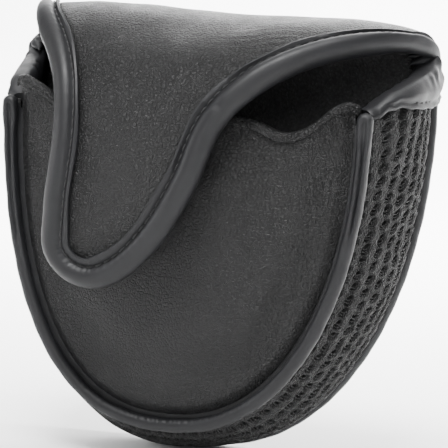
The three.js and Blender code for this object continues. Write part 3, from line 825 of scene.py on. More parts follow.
def piping(name, path, face, crease, count=520):
    """Leather sewn round a cord. crease(distance, from_end) gives a fold's depth and width along it."""
    distance, place, a, b = piping_frames(path, count, face)
    distance = distance[:, None]
    from_end = np.minimum(distance, path.length - distance)
    angle = np.linspace(-1.92, 3.88, 44)[None]
    depth, width, middle = crease(distance, distance < path.length / 2, from_end)
    fold = depth * (bump(angle, middle, width) - 0.18 * bump(angle, middle + 2.1 * width, width))
    fold = fold + depth * -0.18 * bump(angle, middle - 2.1 * width, width)
    bottom = smooth((from_end - 70) / 40)
    wrinkles = 0.11 * bottom * np.sin(distance * 3.6 + 1.5 * np.sin(distance * 0.9)) * bump(angle, 2.5, 0.6)
    wrinkles = wrinkles + 0.05 * np.sin(distance * 0.7) + 0.04 * np.sin(distance * 0.31 + angle)
    radius = PIPING_RADIUS - np.minimum(fold, 0.98) + wrinkles + 0.25 * bump(from_end, 3.0, 4.0)
    ring = np.stack([radius * np.cos(angle), radius * np.sin(angle)], -1)
    flange = np.array([(-2.6, -1.5), (-4.3, -1.5), (-4.3, -2.2), (-2.2, -2.3)])
    flange = np.broadcast_to(flange[None], (count, 4, 2))
    section = np.concatenate([ring, flange], 1)
    closing = np.sqrt(clamp(1 - (1 - from_end / 2.2).clip(0) ** 2, 0.0004))
    section = section * closing[..., None]
    narrow = smooth(from_end / 7.0)[..., None]
    section[:, 44:] = mix(section[:, 43:44] * 0.6, section[:, 44:], narrow)
    rings = place[:, None] + a[:, None] * section[..., :1] + b[:, None] * section[..., 1:]
    return make(name, tube(rings), SMOOTH)


def front_crease(distance, right, from_end):
    """The front piping is pressed flat at its tops: a drop-shaped hollow, then a fold that fades out."""
    reach = np.where(right, 46.0, 60.0)
    depth = np.where(right, 1.0, 0.7) * (1 - smooth((from_end - reach * 0.55) / (reach * 0.45)))
    depth = depth * smooth((from_end - 0.9) / 2.0) + 0.55 * bump(from_end, 6.0, 3.4)
    width = 0.27 + 0.16 * bump(from_end, 6.0, 4.0)
    middle = np.where(right, 1.5, 1.72) + 0.05 * np.sin(from_end * 0.16)
    return depth, width, middle


def back_crease(distance, right, from_end):
    return 0.25 * bump(from_end, 3.0, 5.0), 0.3, 1.2


def cord(name, path, face, radius=0.82, strands=3, count=420):
    """Twisted cord inside a piping."""
    distance, place, a, b = piping_frames(path, count, face)
    inside = (distance > 3.5) & (distance < path.length - 3.5)
    distance, place, a, b = (v[inside] for v in (distance, place, a, b))
    parts = []
    for k in range(strands):
        turn = distance * 2 * math.pi / 6.0 + 2 * math.pi * k / strands
        middle = place + (a * np.cos(turn)[:, None] + b * np.sin(turn)[:, None]) * radius * 0.46
        parts.append(round_strand(middle, a, b, radius * 0.52, 8))
    return make(name, together(parts), CORD)


def round_strand(middle, a, b, radius, sides):
    """A round tube along points with frames a, b; radius may vary along it."""
    angle = np.linspace(0, 2 * math.pi, sides, endpoint=False)
    radius = np.broadcast_to(np.asarray(radius, float), len(middle))[:, None, None]
    ring = np.cos(angle)[None, :, None] * a[:, None] + np.sin(angle)[None, :, None] * b[:, None]
    return tube(middle[:, None] + ring * radius)


# Gusset -------------------------------------------------------------------------------------
HOLE_ALONG = 4.1
HOLE_ACROSS = 4.9


def gusset_net():
    """The spacer mesh's open face: a knitted net whose holes stand in staggered columns."""
    dice = np.random.default_rng(5)
    cells_u = int(GUSSET_LENGTH / HOLE_ALONG)
    cells_w = int(GUSSET_WIDTH / HOLE_ACROSS)
    corner = np.array([(0.5, 1 / 3), (0, 2 / 3), (-0.5, 1 / 3), (-0.5, -1 / 3), (0, -2 / 3), (0.5, -1 / 3)])
    hexagon = np.stack([corner, (corner + np.roll(corner, -1, 0)) / 2], 1).reshape(-1, 2)
    sides = len(hexagon)
    angle = np.arctan2(hexagon[:, 1], hexagon[:, 0])
    flat, lifts, faces, arcs = [], [], [], []
    for j in range(-1, cells_w + 2):
        for i in range(-1, cells_u + 2):
            middle = np.array([i + 0.5 * (j % 2), j + 0.0])
            hole = np.array([0.46, 0.33]) * dice.uniform(0.8, 1.12, 2)
            slant = dice.uniform(0.2, 0.55)
            oval = np.stack([hole[0] * np.cos(angle + slant), hole[1] * np.sin(angle)], 1)
            arcs.append((middle, hole, dice.uniform(-0.2, 0.2, 3)))
            shift = dice.uniform(-0.05, 0.05, 2)
            rings = [
                (hexagon, 0.0), (mix(hexagon, oval, 0.55), 0.22), (oval + shift, -0.12),
                (oval * 0.9 + shift, -0.9), (oval * 0.72 + shift, -1.55),
            ]
            start = sum(len(f) for f in flat)
            for shape, lift in rings:
                flat.append(shape + middle)
                lifts.append(np.full(sides, lift))
            flat.append((middle + shift)[None])
            lifts.append(np.array([-1.35]))
            for ring in range(len(rings) - 1):
                for k in range(sides):
                    m = (k + 1) % sides
                    a = start + ring * sides
                    faces.append((a + k, a + m, a + sides + m, a + sides + k))
            last = start + (len(rings) - 1) * sides
            centre = start + len(rings) * sides
            faces += [(last + k, last + (k + 1) % sides, centre) for k in range(sides)]
    flat = np.vstack(flat)
    lifts = np.concatenate(lifts)
    u = clamp(flat[:, 0] / cells_u, 0.004, 0.996)
    w = clamp(flat[:, 1] / cells_w, 0.0, 1.0)
    lifts = lifts * smooth(np.minimum(w, 1 - w) / 0.012)
    own = np.stack([u * GUSSET_LENGTH, w * GUSSET_WIDTH, 0 * u], 1)
    lifts = lifts + gusset_waves(u, w)
    points = gusset_point(u, w, -lifts)
    keep = []
    for face in faces:
        corners = flat[list(face)]
        if (corners[:, 1] < -0.01).all() or (corners[:, 1] > cells_w + 0.01).all():
            continue
        if (corners[:, 0] < 0.004 * cells_u).all() or (corners[:, 0] > 0.996 * cells_u).all():
            continue
        keep.append(face)
    parts, owns = [(points, keep)], [own]
    for middle, hole, dice_roll in arcs:
        if not (0.5 < middle[1] < cells_w - 0.3 and 1 < middle[0] < cells_u - 1):
            continue
        for k, turn in enumerate((0.0, 0.5)):
            t = np.linspace(-1, 1, 7)
            mu = middle[0] + hole[0] * (0.15 + turn + 0.25 * dice_roll[k]) - 0.35 * hole[0] * t**2
            mw = middle[1] + hole[1] * t + dice_roll[2] * 0.2 * hole[1]
            uu, ww = clamp(mu / cells_u, 0.004, 0.996), clamp(mw / cells_w)
            line = gusset_point(uu, ww, 0.55 - 0.25 * (1 - t**2) - gusset_waves(uu, ww))
            along = unit(np.gradient(line, axis=0))
            a = unit(np.cross(along, [0.3, 0.2, 1.0]))
            strand = round_strand(line, a, np.cross(along, a), 0.2, 5)
            parts.append(strand)
            each = np.stack([mu * HOLE_ALONG, mw * HOLE_ACROSS, 0 * mu], 1)
            owns.append(np.vstack([np.repeat(each, 5, 0), each[[0, -1]]]))
    return make("gusset_net", together(parts), KNIT, cloth=np.vstack(owns) * 0.001)


def gusset_waves(u, w):
    """Slack in the gusset: low waves round the pocket, strongest in the middle of its width."""
    flat = np.stack([u * GUSSET_LENGTH, w * GUSSET_WIDTH], -1)
    return (0.45 * uneven(flat, 22, 21) + 0.2 * uneven(flat, 9, 22)) * np.sin(math.pi * clamp(w))


def gusset_sheet(name, low, high, material, cols=261, rows=31, margin=0.0, seed=0):
    u, w = np.meshgrid(np.linspace(0.005, 0.995, cols), np.linspace(margin, 1 - margin, rows))
    waves = gusset_waves(u, w)
    outer = gusset_point(u, w, low - waves)
    inner = gusset_point(u, w, high - waves)
    own = np.stack([u * GUSSET_LENGTH, w * GUSSET_WIDTH, 0 * u], -1).reshape(-1, 3) * 0.001
    if seed:
        return lining_sheet(name, outer, inner, seed)
    return make(name, slab(outer, inner), material, cloth=np.vstack([own, own]))


FACING_FROM = 0.0
FACING_TO = 0.985


def facing_rise(w):
    """How far the facing's fold stands above the straight line between the mouth's corners."""
    return np.interp(w, [0, 0.1, 0.22, 0.5, 0.78, 0.92, 1.0], [0.4, 1.8, 2.9, 2.5, 1.3, 2.2, 4.4])


def facing_drop(w):
    """How far its lower edge hangs below that line."""
    return np.interp(w, [0, 0.12, 0.24, 0.45, 0.7, 0.85, 1.0], [2.4, 1.5, 1.9, 5.4, 8.8, 10.0, 10.2])


def gusset_facing(side, name):
    """Soft leather folded over the gusset's upper end, gathered by the elastic inside it."""
    w = np.linspace(FACING_FROM, FACING_TO, 150)
    place, down, out = mouth_edge(side, w)
    laminate = GUSSET_STACK
    rise = uneven_rise(w)
    rings = []
    for i, share in enumerate(w):
        drop = facing_drop(share) + rise[i] + 0.15 * math.sin(share * 40)
        section = folded_section(drop, 6.0, 0.8, laminate, 64)
        d, o = section.T
        outside = smooth((o + laminate / 2) / 1.5)
        back = smooth((share - 0.5) / 0.4)
        gathers = 0.28 * np.sin(share * 37 + 3.0 * math.sin(share * 9) + 0.3 * d) * bump(d, 1.5, 2.2) * back
        folds = 0.6 * np.sin(0.8 * d - 7.0 * share + 2.0) * back * bump(d, 5.5, 3.5)
        edge = 0.3 * bump(d, drop - 0.6, 0.6) - 0.35 * bump(d, drop - 2.0, 0.5)
        puff = (gathers + folds + edge + 0.9 * bump(d, drop * 0.42, drop * 0.3)) * outside
        puff = puff + 0.35 * np.sin(share * 31 + 2 * math.sin(share * 13) + d) * (1 - outside)
        tuck = 1.6 * (1 - smooth(share / 0.06)) + 0.8 * smooth((share - 0.96) / 0.03)
        full = 1.0 * smooth((share - 0.55) / 0.3) * outside * (1 if side > 0 else 0.2)
        ring = place[i] + down[i] * (d - rise[i])[:, None] + out[i] * (o + puff + full - tuck)[:, None]
        rings.append(ring)
    folds = [corner_fold(side, *fold) for fold in CORNER_FOLDS]
    return make(name, together([tube(np.array(rings)), *folds]), SMOOTH)


# Folds of the facing's leather drawn up into the mouth's back corner: inner end, height of the
# fold's middle above a straight line, radius.
CORNER_FOLDS = [
    ((55.6, -10.5, 17.3), 0.5, 1.7), ((56.0, -12.5, 15.0), 0.7, 1.8), ((57.7, -14.5, 12.8), 0.7, 1.7),
    ((56.2, -6.5, 12.4), 0.5, 2.2),
]


def corner_fold(side, inner, arch, radius):
    """One drawn-up fold, thinning to a point at its inner end."""
    t = np.linspace(0, 1, 24)
    corner = np.array([63.3, -2.4, 16.4])
    line = mix(corner, np.array(inner), t[:, None])
    line[:, 2] += arch * np.sin(math.pi * t) + 0.25 * np.sin(t * 9 + radius * 7)
    line[:, 0] *= side
    full = 0.25 + 0.75 * np.sin(math.pi * clamp(0.12 + 0.8 * t)) ** 0.7
    thick = radius * full * (1 - 0.92 * smooth((t - 0.5) / 0.5))
    along = unit(np.gradient(line, axis=0))
    a = unit(np.cross(along, [0, 0, 1.0]))
    return round_strand(line, a * 1.5, np.cross(along, a), thick, 14)


def uneven_rise(w):
    """The fold's height, rounded off so that it has no corners."""
    kernel = np.hanning(21)
    padded_rise = np.pad(facing_rise(w), 10, mode="edge")
    return np.convolve(padded_rise, kernel / kernel.sum(), "valid")


def stitches(line, normal, length, gap, radius, sink=0.0):
    """Separate stitches along a dense line of points: short rounded threads that dip at both ends."""
    path = Path(line, dense=True)
    ways = np.stack([np.interp(np.linspace(0, 1, 400), np.linspace(0, 1, len(line)), c) for c in normal.T], 1)
    count = int(path.length / (length + gap))
    parts = []
    shape = np.linspace(0, 1, 7)
    for k in range(count):
        distance = (k + 0.5) * path.length / count + (shape - 0.5) * length
        middle = path.at(distance)
        up = unit(ways[int((k + 0.5) / count * 399)])
        along = unit(middle[-1] - middle[0])
        side = np.cross(along, up)
        dip = radius * (1.2 - 2.2 * np.sin(math.pi * shape) ** 0.6) + sink
        middle = middle - up * dip[:, None]
        thick = radius * (0.55 + 0.45 * np.sin(math.pi * shape) ** 0.5)
        ones = np.ones((7, 1))
        parts.append(round_strand(middle, side * ones, up * ones, thick, 6))
    return together(parts)


def facing_stitches(side, name):
    w = np.linspace(0.4, FACING_TO - 0.03, 120)
    place, down, out = mouth_edge(side, w)
    line = place + down * (facing_drop(w) - 2.0)[:, None] + out * (GAP + 0.8 - 0.1)
    return make(name, stitches(line, out, 2.0, 0.7, 0.3), THREAD)


def elastic_band(side, name):
    """Ribbed elastic, waved where it gathers the leather."""
    w = np.linspace(FACING_FROM + 0.05, FACING_TO - 0.05, 160)
    place, down, out = mouth_edge(side, w)
    waves = 0.15 * np.sin(w * 110)
    low = 0.9 - GUSSET_STACK
    across = np.linspace(0, 1, 9)
    ribs = 0.07 * np.cos(across * 8 * math.pi)
    rings = []
    for i in range(len(w)):
        outer = [(1.6 - r, mix(low, -0.9, t)) for t, r in zip(across, ribs)]
        inner = [(2.7 + r, mix(-0.9, low, t)) for t, r in zip(across, ribs)]
        section = np.array(outer + inner)
        rings.append(place[i] + down[i] * section[:, :1] + out[i] * (section[:, 1:] + waves[i]))
    return make(name, tube(np.array(rings)), WEBBING)


# Back of the pocket ---------------------------------------------------------------------------
def back_pad():
    outer, flat, edge = back_grid(201, 91, 0, CORNER_HEIGHT - SPLIT_GAP, 0.0)
    inward = nearest(flat, edge)
    moved = settle(outer, edges_held(outer, 4, 3, 3), 1.0, 0.003, 0.9, outward=np.array([0, 1.0, 0]))
    top = CORNER_HEIGHT - SPLIT_GAP - flat[..., 1]
    dive = 1.5 * (1 - smooth(inward / 6.0)) ** 1.6 + 0.8 * (1 - smooth(top / 5.0)) ** 2
    around = np.arctan2(flat[..., 1] + 30, flat[..., 0])
    puckers = 0.12 * np.sin(around * 90 + 2 * np.sin(around * 15)) * np.exp(-inward / 3.5)
    waves = (0.3 * uneven(flat, 26, 41) + 0.08 * uneven(flat, 8, 42) + 0.3) * smooth(inward / 10)
    outer[..., 1] -= dive + puckers + np.abs(waves)
    outer = outer + moved * smooth(inward / 8)[..., None] * 0.5
    inner, flat, edge = back_grid(201, 91, 0, CORNER_HEIGHT - SPLIT_GAP, LEATHER + GAP + FOAM)
    return make("back_pad", slab(outer, inner), [GRAINED, FOAM_GREY])


LINING_SETBACK = 1.0  # the back lining stops this far inside the panel's edge
LINING_TOP = CORNER_HEIGHT + 1.8  # and laps this high over the start of the flap


def back_lining():
    start = LEATHER + 2 * GAP + FOAM
    outer, _, _ = back_grid(121, 71, LINING_SETBACK, LINING_TOP, start)
    inner, _, _ = back_grid(121, 71, LINING_SETBACK, LINING_TOP, start + LINING)
    return lining_sheet("back_lining_plush", outer, inner, 31)


# Flap ---------------------------------------------------------------------------------------
FLAP_MIDDLE = 36.0  # the flap's layers are two pieces each, which meet here
HOOD_LIMIT = 61.8
SEAM_LAP = 0.7  # the flap's layers start this far below the back panel's upper edge
EDGE_FLAT = EDGE.points[:, :2]


def flap_sides(inset, limit):
    """Left and right x of the flap inside an inset edge, as functions of s, and its lowest point."""
    edge = inset_edge(inset)
    tip = edge[:, 1].argmax()
    left, right = edge[: tip + 1], edge[tip:][::-1]
    left = left[np.maximum.accumulate(left[:, 1]) <= left[:, 1] + 1e-9]
    right = right[np.maximum.accumulate(right[:, 1]) <= right[:, 1] + 1e-9]

    def sides(s):
        a = np.interp(s, left[:, 1], left[:, 0], left=-limit)
        b = np.interp(s, right[:, 1], right[:, 0], left=limit)
        return np.maximum(a, -limit), np.minimum(b, limit)

    return sides, edge[tip, 1]


def flap_grid(part, inset, cols, rows):
    sides, end = flap_sides(inset, HOOD_LIMIT)
    if part == "back":
        s = mix(-SEAM_LAP, FLAP_MIDDLE, np.linspace(0, 1, rows) ** 1.15)
    else:
        share = np.linspace(0, 1, rows)
        s = mix(FLAP_MIDDLE, end - 0.05, mix(share, np.sin(share * math.pi / 2), 0.75 * share))
    left, right = sides(s)
    across = np.linspace(0, 1, cols)
    across = mix(across, (1 - np.cos(across * math.pi)) / 2, 0.5)
    x = left[:, None] + (right - left)[:, None] * across[None]
    return x, np.broadcast_to(s[:, None], x.shape)


def flap_relief(x, s):
    """The padded leather stands up between its seams, dips beside the binding, and lies unevenly."""
    flat = np.stack([x, s], -1)
    inward = nearest(flat, EDGE_FLAT[::12])
    puff = 0.75 * smooth((inward - 8) / 14) - 0.45 * (1 - smooth((inward - 7.5) / 2.2))
    back = -0.6 * (1 - smooth(s / 5.0)) ** 1.5
    waves = 0.28 * uneven(flat, 24, 51) + 0.1 * uneven(flat, 9, 52)
    lines = 0.04 * np.sin(0.5 * x + 2.3 * s + 1.5 * np.sin(0.3 * x)) * bump(x, 22, 14) * bump(s, 44, 8)
    return puff + back + waves * smooth((inward - 6) / 8) + lines


def bend(piece):
    """Marks edges sharper than 50 degrees and bakes the piece's place into its mesh. The fabric turns over
    the back seam between pocket and hood, and over the mouth between hood and tongue, but this does not make
    the piece turn there.
    """
    piece.data.set_sharp_from_angle(angle=math.radians(50))
    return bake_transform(piece)


def flap_pad(part):
    x, s = flap_grid(part, 3.4, 141, 73 if part == "back" else 161)
    outer = on_flap(x, s, flap_relief(x, s))
    inner = on_flap(x, s, np.full(x.shape, -(LEATHER + GAP + FLAP_FOAM)))
    return make(f"flap_pad_{part}", slab(outer, inner), [GRAINED, FOAM_GREY])


def flap_lining(part):
    x, s = flap_grid(part, 4.2, 101, 49 if part == "back" else 111)
    start = LEATHER + FLAP_FOAM + 2 * GAP
    outer = on_flap(x, s, np.full(x.shape, -start))
    lie = 0.14 * uneven(np.stack([x, s], -1), 5, 61) + 0.08 * uneven(np.stack([x, s], -1), 1.7, 62)
    inner = on_flap(x, s, -start - FLAP_LINING - lie)
    return make(f"flap_lining_{part}", slab(outer, inner), PLUSH)


BINDING_SECTION = Path(
    [
        (8.5, 0.55), (8.35, 1.15), (7.95, 1.4), (7.45, 1.15), (7.05, 0.5), (6.65, 0.22), (6.2, 0.75),
        (5.4, 1.45), (4.2, 1.8), (2.7, 1.6), (1.3, 0.75), (0.35, -0.5), (0, -2.1), (0.35, -3.7),
        (1.3, -5.0), (2.7, -5.75), (4.6, -5.95), (6.7, -5.75), (6.8, -5.1), (4.6, -5.0),
        (3.0, -4.9), (1.7, -3.6), (1.4, -2), (1.8, -0.6), (3, 0.2), (5.5, 0.25), (8.3, 0.25),
        (8.5, 0.55),
    ]
)


def edge_at(s, side):
    """Distance along the free edge at which it passes s, left or right of the tongue's tip."""
    points = EDGE.points
    part = slice(0, TONGUE_TIP) if side == "left" else slice(TONGUE_TIP, len(points))
    return float(EDGE.lengths[part][np.abs(points[part, 1] - s).argmin()])


BINDING_CUTS = {
    "left": (0.6, edge_at(40.0, "left")),
    "front": (edge_at(40.0, "left"), edge_at(53.0, "right")),
    "right": (edge_at(53.0, "right"), EDGE.length - 0.6),
}


def binding_section(distance):
    """The rolled binding's section at each distance along the edge: (inwards, out of the flap)."""
    share = np.linspace(0, BINDING_SECTION.length, 57)[:-1]
    base = BINDING_SECTION.at(share)
    u = np.broadcast_to(base[None, :, 0], (len(distance), len(base))).copy()
    v = np.broadcast_to(base[None, :, 1], u.shape).copy()
    d = np.broadcast_to(distance[:, None], u.shape)
    outside = smooth((v + 1.0) / 1.2)
    along = d / 2.9 * 2 * math.pi
    bottom = bump(d, float(EDGE.lengths[TONGUE_TIP]), 42)
    right = smooth((d - EDGE.lengths[TONGUE_TIP] - 20) / 30)
    pucker = (0.07 + 0.07 * bottom) * np.sin(along + 0.8 * np.sin(d * 0.37)) * bump(u, 5.9, 0.7)
    depth = -0.22 * (0.5 + 0.5 * np.cos(along)) * bump(u, 6.8, 0.5)
    fuller = (0.22 * uneven(np.stack([d, u], -1), 17, 71) + 0.3 * right) * bump(u, 3.4, 2.4)
    lip = 0.12 * np.sin(d * 0.45) * bump(u, 8.0, 0.5)
    v += (pucker + depth + fuller + lip) * outside
    crease = bump(d, edge_at(75.0, "right") + 4, 1.2) * 0.35 * bump(u, 4.5, 2.4)
    v -= crease * outside
    wide = 1.0 * bottom + 0.25 * np.sin(d * 0.21)
    u += wide * smooth((u - 7.2) / 0.6) * outside
    return u, v


def corner_gathers(distance, u, x):
    """Folds that run out of the flap's right corner, where its binding is drawn into the seam."""
    near = smooth((x - 47) / 12)
    fan = np.sin(u * 1.7 - 0.16 * distance + 0.8)
    return near * (0.3 * fan * bump(u, 4.5, 4.0) - 0.15)


def flap_binding(part):
    start, end = BINDING_CUTS[part]
    count = int((end - start) / 0.7) + 2
    distance = np.linspace(start, end, count)
    points, inwards = edge_frames(distance)
    u, v = binding_section(distance)
    x = points[:, None, 0] + u * inwards[:, None, 0]
    s = points[:, None, 1] + u * inwards[:, None, 1]
    outside = smooth((v + 1.0) / 1.2)
    v = v + corner_gathers(distance[:, None], u, points[:, None, 0]) * outside
    squeeze = 1 - 0.3 * smooth((np.abs(points[:, None, 0]) - 54) / 9)
    rings = on_flap(x, s, v * squeeze)
    if part != "front":
        rings = into_corner(rings, part)
    return make(f"flap_binding_{part}", tube(rings), SMOOTH)


def into_corner(rings, part):
    """Carries the binding on from its last ring, round and down into the mouth's back corner."""
    side = 1 if part == "right" else -1
    if part == "left":
        rings = rings[::-1]
    reach = 7.0 if side > 0 else 9.5
    middles = rings.mean(1)
    keep = np.abs(middles[:, 0]) < 65 - reach
    keep[:5] = True
    rings, middles = rings[keep], middles[keep]
    last, start = rings[-1], middles[-1]
    way = unit(middles[-1] - middles[-6])
    goal = np.array([63.8, -2.6, 13.4]) if side > 0 else np.array([-61.6, -2.6, 13.6])
    size = np.linalg.norm(goal - start)
    more = []
    for t in np.linspace(0, 1, 26)[1:]:
        bend_point = start + way * size * (0.62 if side > 0 else 0.3)
        centre = (1 - t) ** 2 * start + 2 * t * (1 - t) * bend_point + t * t * goal
        shrink = 1 - 0.5 * t**1.5
        fold = 0.5 * math.sin(7 * t) * np.sin(3 * np.arange(len(last)) / len(last) * 2 * math.pi + 2 * t)
        more.append(centre + (last - start) * (shrink * (1 + 0.18 * fold))[:, None])
    rings = np.concatenate([rings, np.array(more)])
    return rings[::-1] if part == "left" else rings


def flap_stitches(part):
    start, end = BINDING_CUTS[part]
    distance = np.linspace(start + 0.4, end - 0.4, int((end - start) / 0.5))
    points, inwards = edge_frames(distance)
    x, s = points[:, 0] + 6.75 * inwards[:, 0], points[:, 1] + 6.75 * inwards[:, 1]
    keep = np.abs(x) < 61
    x, s = x[keep], s[keep]
    line = on_flap(x, s, np.full_like(x, 0.42))
    shape = stitches(line, flap_normal(x, s), 2.4, 0.5, 0.2)
    return make(f"flap_stitches_{part}", shape, THREAD)


# Closure ------------------------------------------------------------------------------------
def hook_outline(cols, rows, shrink=0.0):
    left, right, top = -31.0 + shrink, 9.6 - shrink, -14.0 - shrink
    across = (1 - np.cos(np.linspace(0, math.pi, cols))) / 2
    x = mix(left, right, across)
    slant = np.interp(x, [-2, 4.1, 6.2, 10], [-44.5, -30.1, -24, -14.6])
    low = np.maximum(-44.5, slant) + shrink
    round_corner = clamp((left + 5 - x) / 5)
    low = low + 5 * (1 - np.sqrt(1 - round_corner**2))
    z = low[:, None] + (top - low)[:, None] * np.linspace(0, 1, rows)[None]
    return np.broadcast_to(x[:, None], z.shape), z


def hook_patch():
    """Hook tape: a woven base with a plain selvedge, and rows of small hooks."""
    x, z = hook_outline(61, 41)

    def level(depth):
        points = front_surface(x, z, 0)
        points[..., 1] -= depth
        return points

    base = slab(level(1.05 + 0.06 * np.sin(z * 5)), level(GAP))
    parts = [base[:2]]
    dice = np.random.default_rng(8)
    pitch = 1.45
    outline_x, outline_z = hook_outline(61, 41, 1.7)
    for row in range(int(46 / pitch)):
        height = -45.5 + row * pitch
        xs = np.arange(-30.5 + 0.5 * pitch * (row % 2), 9, pitch)
        bottoms = np.interp(xs, outline_x[:, 0], outline_z[:, 0])
        tops = np.interp(xs, outline_x[:, 0], outline_z[:, -1])
        xs = xs[(bottoms < height) & (height < tops)]
        if not len(xs):
            continue
        feet = front_surface(xs, np.full_like(xs, height), 0)
        for foot in feet:
            parts.append(hook(foot + [0, -1.0, 0], dice.uniform(-0.3, 0.3)))
    return make("hook_tape", together(parts), WEBBING)


def hook(foot, twist):
    """One hook: it rises from the base and turns down at its tip."""
    rise = np.linspace(0, 1, 6)
    turn = rise * 4.2
    y = -0.95 * np.sin(np.minimum(turn, math.pi / 2)) + 0.3 * clamp(turn - math.pi / 2) * 0.6
    z = 0.32 * (1 - np.cos(np.minimum(turn, 2.6)))
    middle = foot + np.stack([twist * rise, y, -z], 1)
    a = np.broadcast_to([1.0, 0, 0], middle.shape)
    b = np.broadcast_to([0, 0, 1.0], middle.shape)
    return round_strand(middle, a, b, 0.13, 4)


def loop_patch():
    """Loop tape under the tongue: a base with a soft uneven pile of small loops."""
    sides, end = flap_sides(8.0, HOOD_LIMIT)
    share = np.linspace(0, 1, 60)
    s = mix(84.0, end - 0.1, np.sin(share * math.pi / 2))
    left, right = sides(s)
    x = left[:, None] + (right - left)[:, None] * np.linspace(0, 1, 61)[None]
    s = np.broadcast_to(s[:, None], x.shape)
    flat = np.stack([x, s], -1)
    top = FLAP_STACK + GAP
    pile = 0.08 * uneven(flat, 1.2, 81) + 0.06 * uneven(flat, 3.0, 82)
    base = slab(on_flap(x, s, np.full(x.shape, -top)), on_flap(x, s, -top - 0.85 - pile))
    parts = [base[:2]]
    dice = np.random.default_rng(9)
    inside = flat[2:-2, 2:-2].reshape(-1, 2)
    chosen = inside[dice.choice(len(inside), 900, replace=False)] + dice.normal(0, 0.25, (900, 2))
    turn = np.linspace(0, math.pi, 6)
    for px, ps in chosen:
        way = dice.uniform(0, math.pi)
        reach = 0.42 * np.cos(turn)
        lx, ls = px + reach * math.cos(way), ps + reach * math.sin(way)
        middle = on_flap(lx, ls, -top - 0.8 - 0.38 * np.sin(turn))
        a = np.broadcast_to([math.sin(way), 0, math.cos(way)], middle.shape)
        b = np.broadcast_to([0, 1.0, 0], middle.shape)
        parts.append(round_strand(middle, a, b, 0.07, 3))
    return make("loop_tape", together(parts), WEBBING)


# Assembly -----------------------------------------------------------------------------------
def place(piece, body, slot, *nodes):
    piece.data.set_sharp_from_angle(angle=math.radians(50))
    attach(piece, body)
    finish_piece(piece, slot, *nodes)
    return piece


def finish_piece(piece, slot, *nodes):
    if nodes:
        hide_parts(*nodes)


def cut_outline(flat):
    """The closed line round a grid of flat points."""
    return np.vstack([flat[0], flat[1:, -1], flat[-1, -2::-1], flat[-2:0:-1, 0]])


def declare_sheet(cut):
    """Works out the area of a lining's cut, a closed line in millimetres laid flat before it is sewn in,
    without seam allowance, and keeps that area nowhere.
    """
    x, y = cut.T
    area = abs((x * np.roll(y, -1) - np.roll(x, -1) * y).sum()) / 2


def front_lining_cut():
    return cut_outline(front_grid(121, 61, 1.2, LIP_CUT, lambda x, z: 0 * x)[1])


def back_lining_cut():
    return cut_outline(back_grid(121, 71, LINING_SETBACK, LINING_TOP, 0.0)[1])


def gusset_lining_cut():
    """A strip as long as the gusset where the lining lies, and as wide as the gap it crosses."""
    u = np.linspace(0.005, 0.995, 200)
    depth = np.full_like(u, (MESH + GAP + GUSSET_STACK) / 2)
    front = gusset_point(u, np.full_like(u, 0.03), depth)
    back = gusset_point(u, np.full_like(u, 0.97), depth)
    across = np.linalg.norm(back - front, axis=1)
    steps = np.linalg.norm(np.diff((front + back) / 2, axis=0), axis=1)
    along = np.concatenate([[0], np.cumsum(steps)])
    return np.vstack([np.stack([-across / 2, along], 1), np.stack([across / 2, along], 1)[::-1]])


def flap_lining_cut(part):
    """The flap's own outline, as long as the flap where the lining lies, inside its bends."""
    x, s = flap_grid(part, 4.2, 101, 49 if part == "back" else 111)
    depth = -(LEATHER + FLAP_FOAM + 2 * GAP + FLAP_LINING / 2)
    middle = on_flap(np.zeros(len(s)), s[:, 0], np.full(len(s), depth))
    steps = np.linalg.norm(np.diff(middle, axis=0), axis=1)
    along = np.concatenate([[0], np.cumsum(steps)])
    return cut_outline(np.stack([x, np.broadcast_to(along[:, None], x.shape)], -1))


front = place(front_pad(), "pocket", "grained_leather", "front_panel", "front_padding")
back = place(back_pad(), "pocket", "grained_leather", "back_panel", "back_padding")
place(front_edge(), "pocket", "smooth_leather", "front_edge_binding")
lining = place(front_lining(), "pocket", "plush", "front_lining")
declare_sheet(front_lining_cut())
lining = place(back_lining(), "pocket", "plush", "back_lining")
declare_sheet(back_lining_cut())
place(
    piping("front_piping", FRONT_PIPING, -1, front_crease), "pocket", "smooth_leather", "front_piping_cover"
)
place(
    piping("back_piping", BACK_PIPING, 1, back_crease), "pocket", "smooth_leather", "back_piping_cover"
)
place(cord("front_piping_twine", FRONT_PIPING, -1), "pocket", "cord", "front_piping_cord")
place(cord("back_piping_twine", BACK_PIPING, 1), "pocket", "cord", "back_piping_cord")

net = place(gusset_net(), "pocket", "spacer_mesh", "gusset_mesh")
core = place(gusset_sheet("gusset_core", 1.75, MESH, KNIT), "pocket", "spacer_mesh")
inside = gusset_sheet("gusset_lining_plush", MESH + GAP, GUSSET_STACK, PLUSH, margin=0.03, seed=91)
inside = place(inside, "pocket", "plush", "gusset_lining")
declare_sheet(gusset_lining_cut())
for side, name in ((-1, "left"), (1, "right")):
    place(
        gusset_facing(side, f"facing_{name}"), "pocket", "smooth_leather", f"gusset_facing_{name}"
    )
    place(facing_stitches(side, f"facing_stitches_{name}"), "pocket", "thread", f"facing_stitch_{name}")
    place(elastic_band(side, f"elastic_{name}"), "pocket", "elastic", f"facing_elastic_{name}")
place(hook_patch(), "pocket", "hook_tape", "hook_patch")

for part, nodes in (
    ("back", ("hood_leather", "hood_padding")),
    ("front", ("tongue_leather", "tongue_padding")),
):
    pad = bend(flap_pad(part))
    finish_piece(pad, "grained_leather", *nodes)
for part, node in (("back", "hood_lining"), ("front", "tongue_lining")):
    sheet = bend(flap_lining(part))
    finish_piece(sheet, "plush", node)
    declare_sheet(flap_lining_cut(part))
for part, binding, stitch in (
    ("left", "hood_binding_left", "hood_stitch_left"),
    ("front", "tongue_binding", "tongue_stitch"),
    ("right", "hood_binding_right", "hood_stitch_right"),
):
    finish_piece(bend(flap_binding(part)), "smooth_leather", binding)
    finish_piece(bend(flap_stitches(part)), "thread", stitch)
place(loop_patch(), "tongue", "loop_tape", "loop_patch")


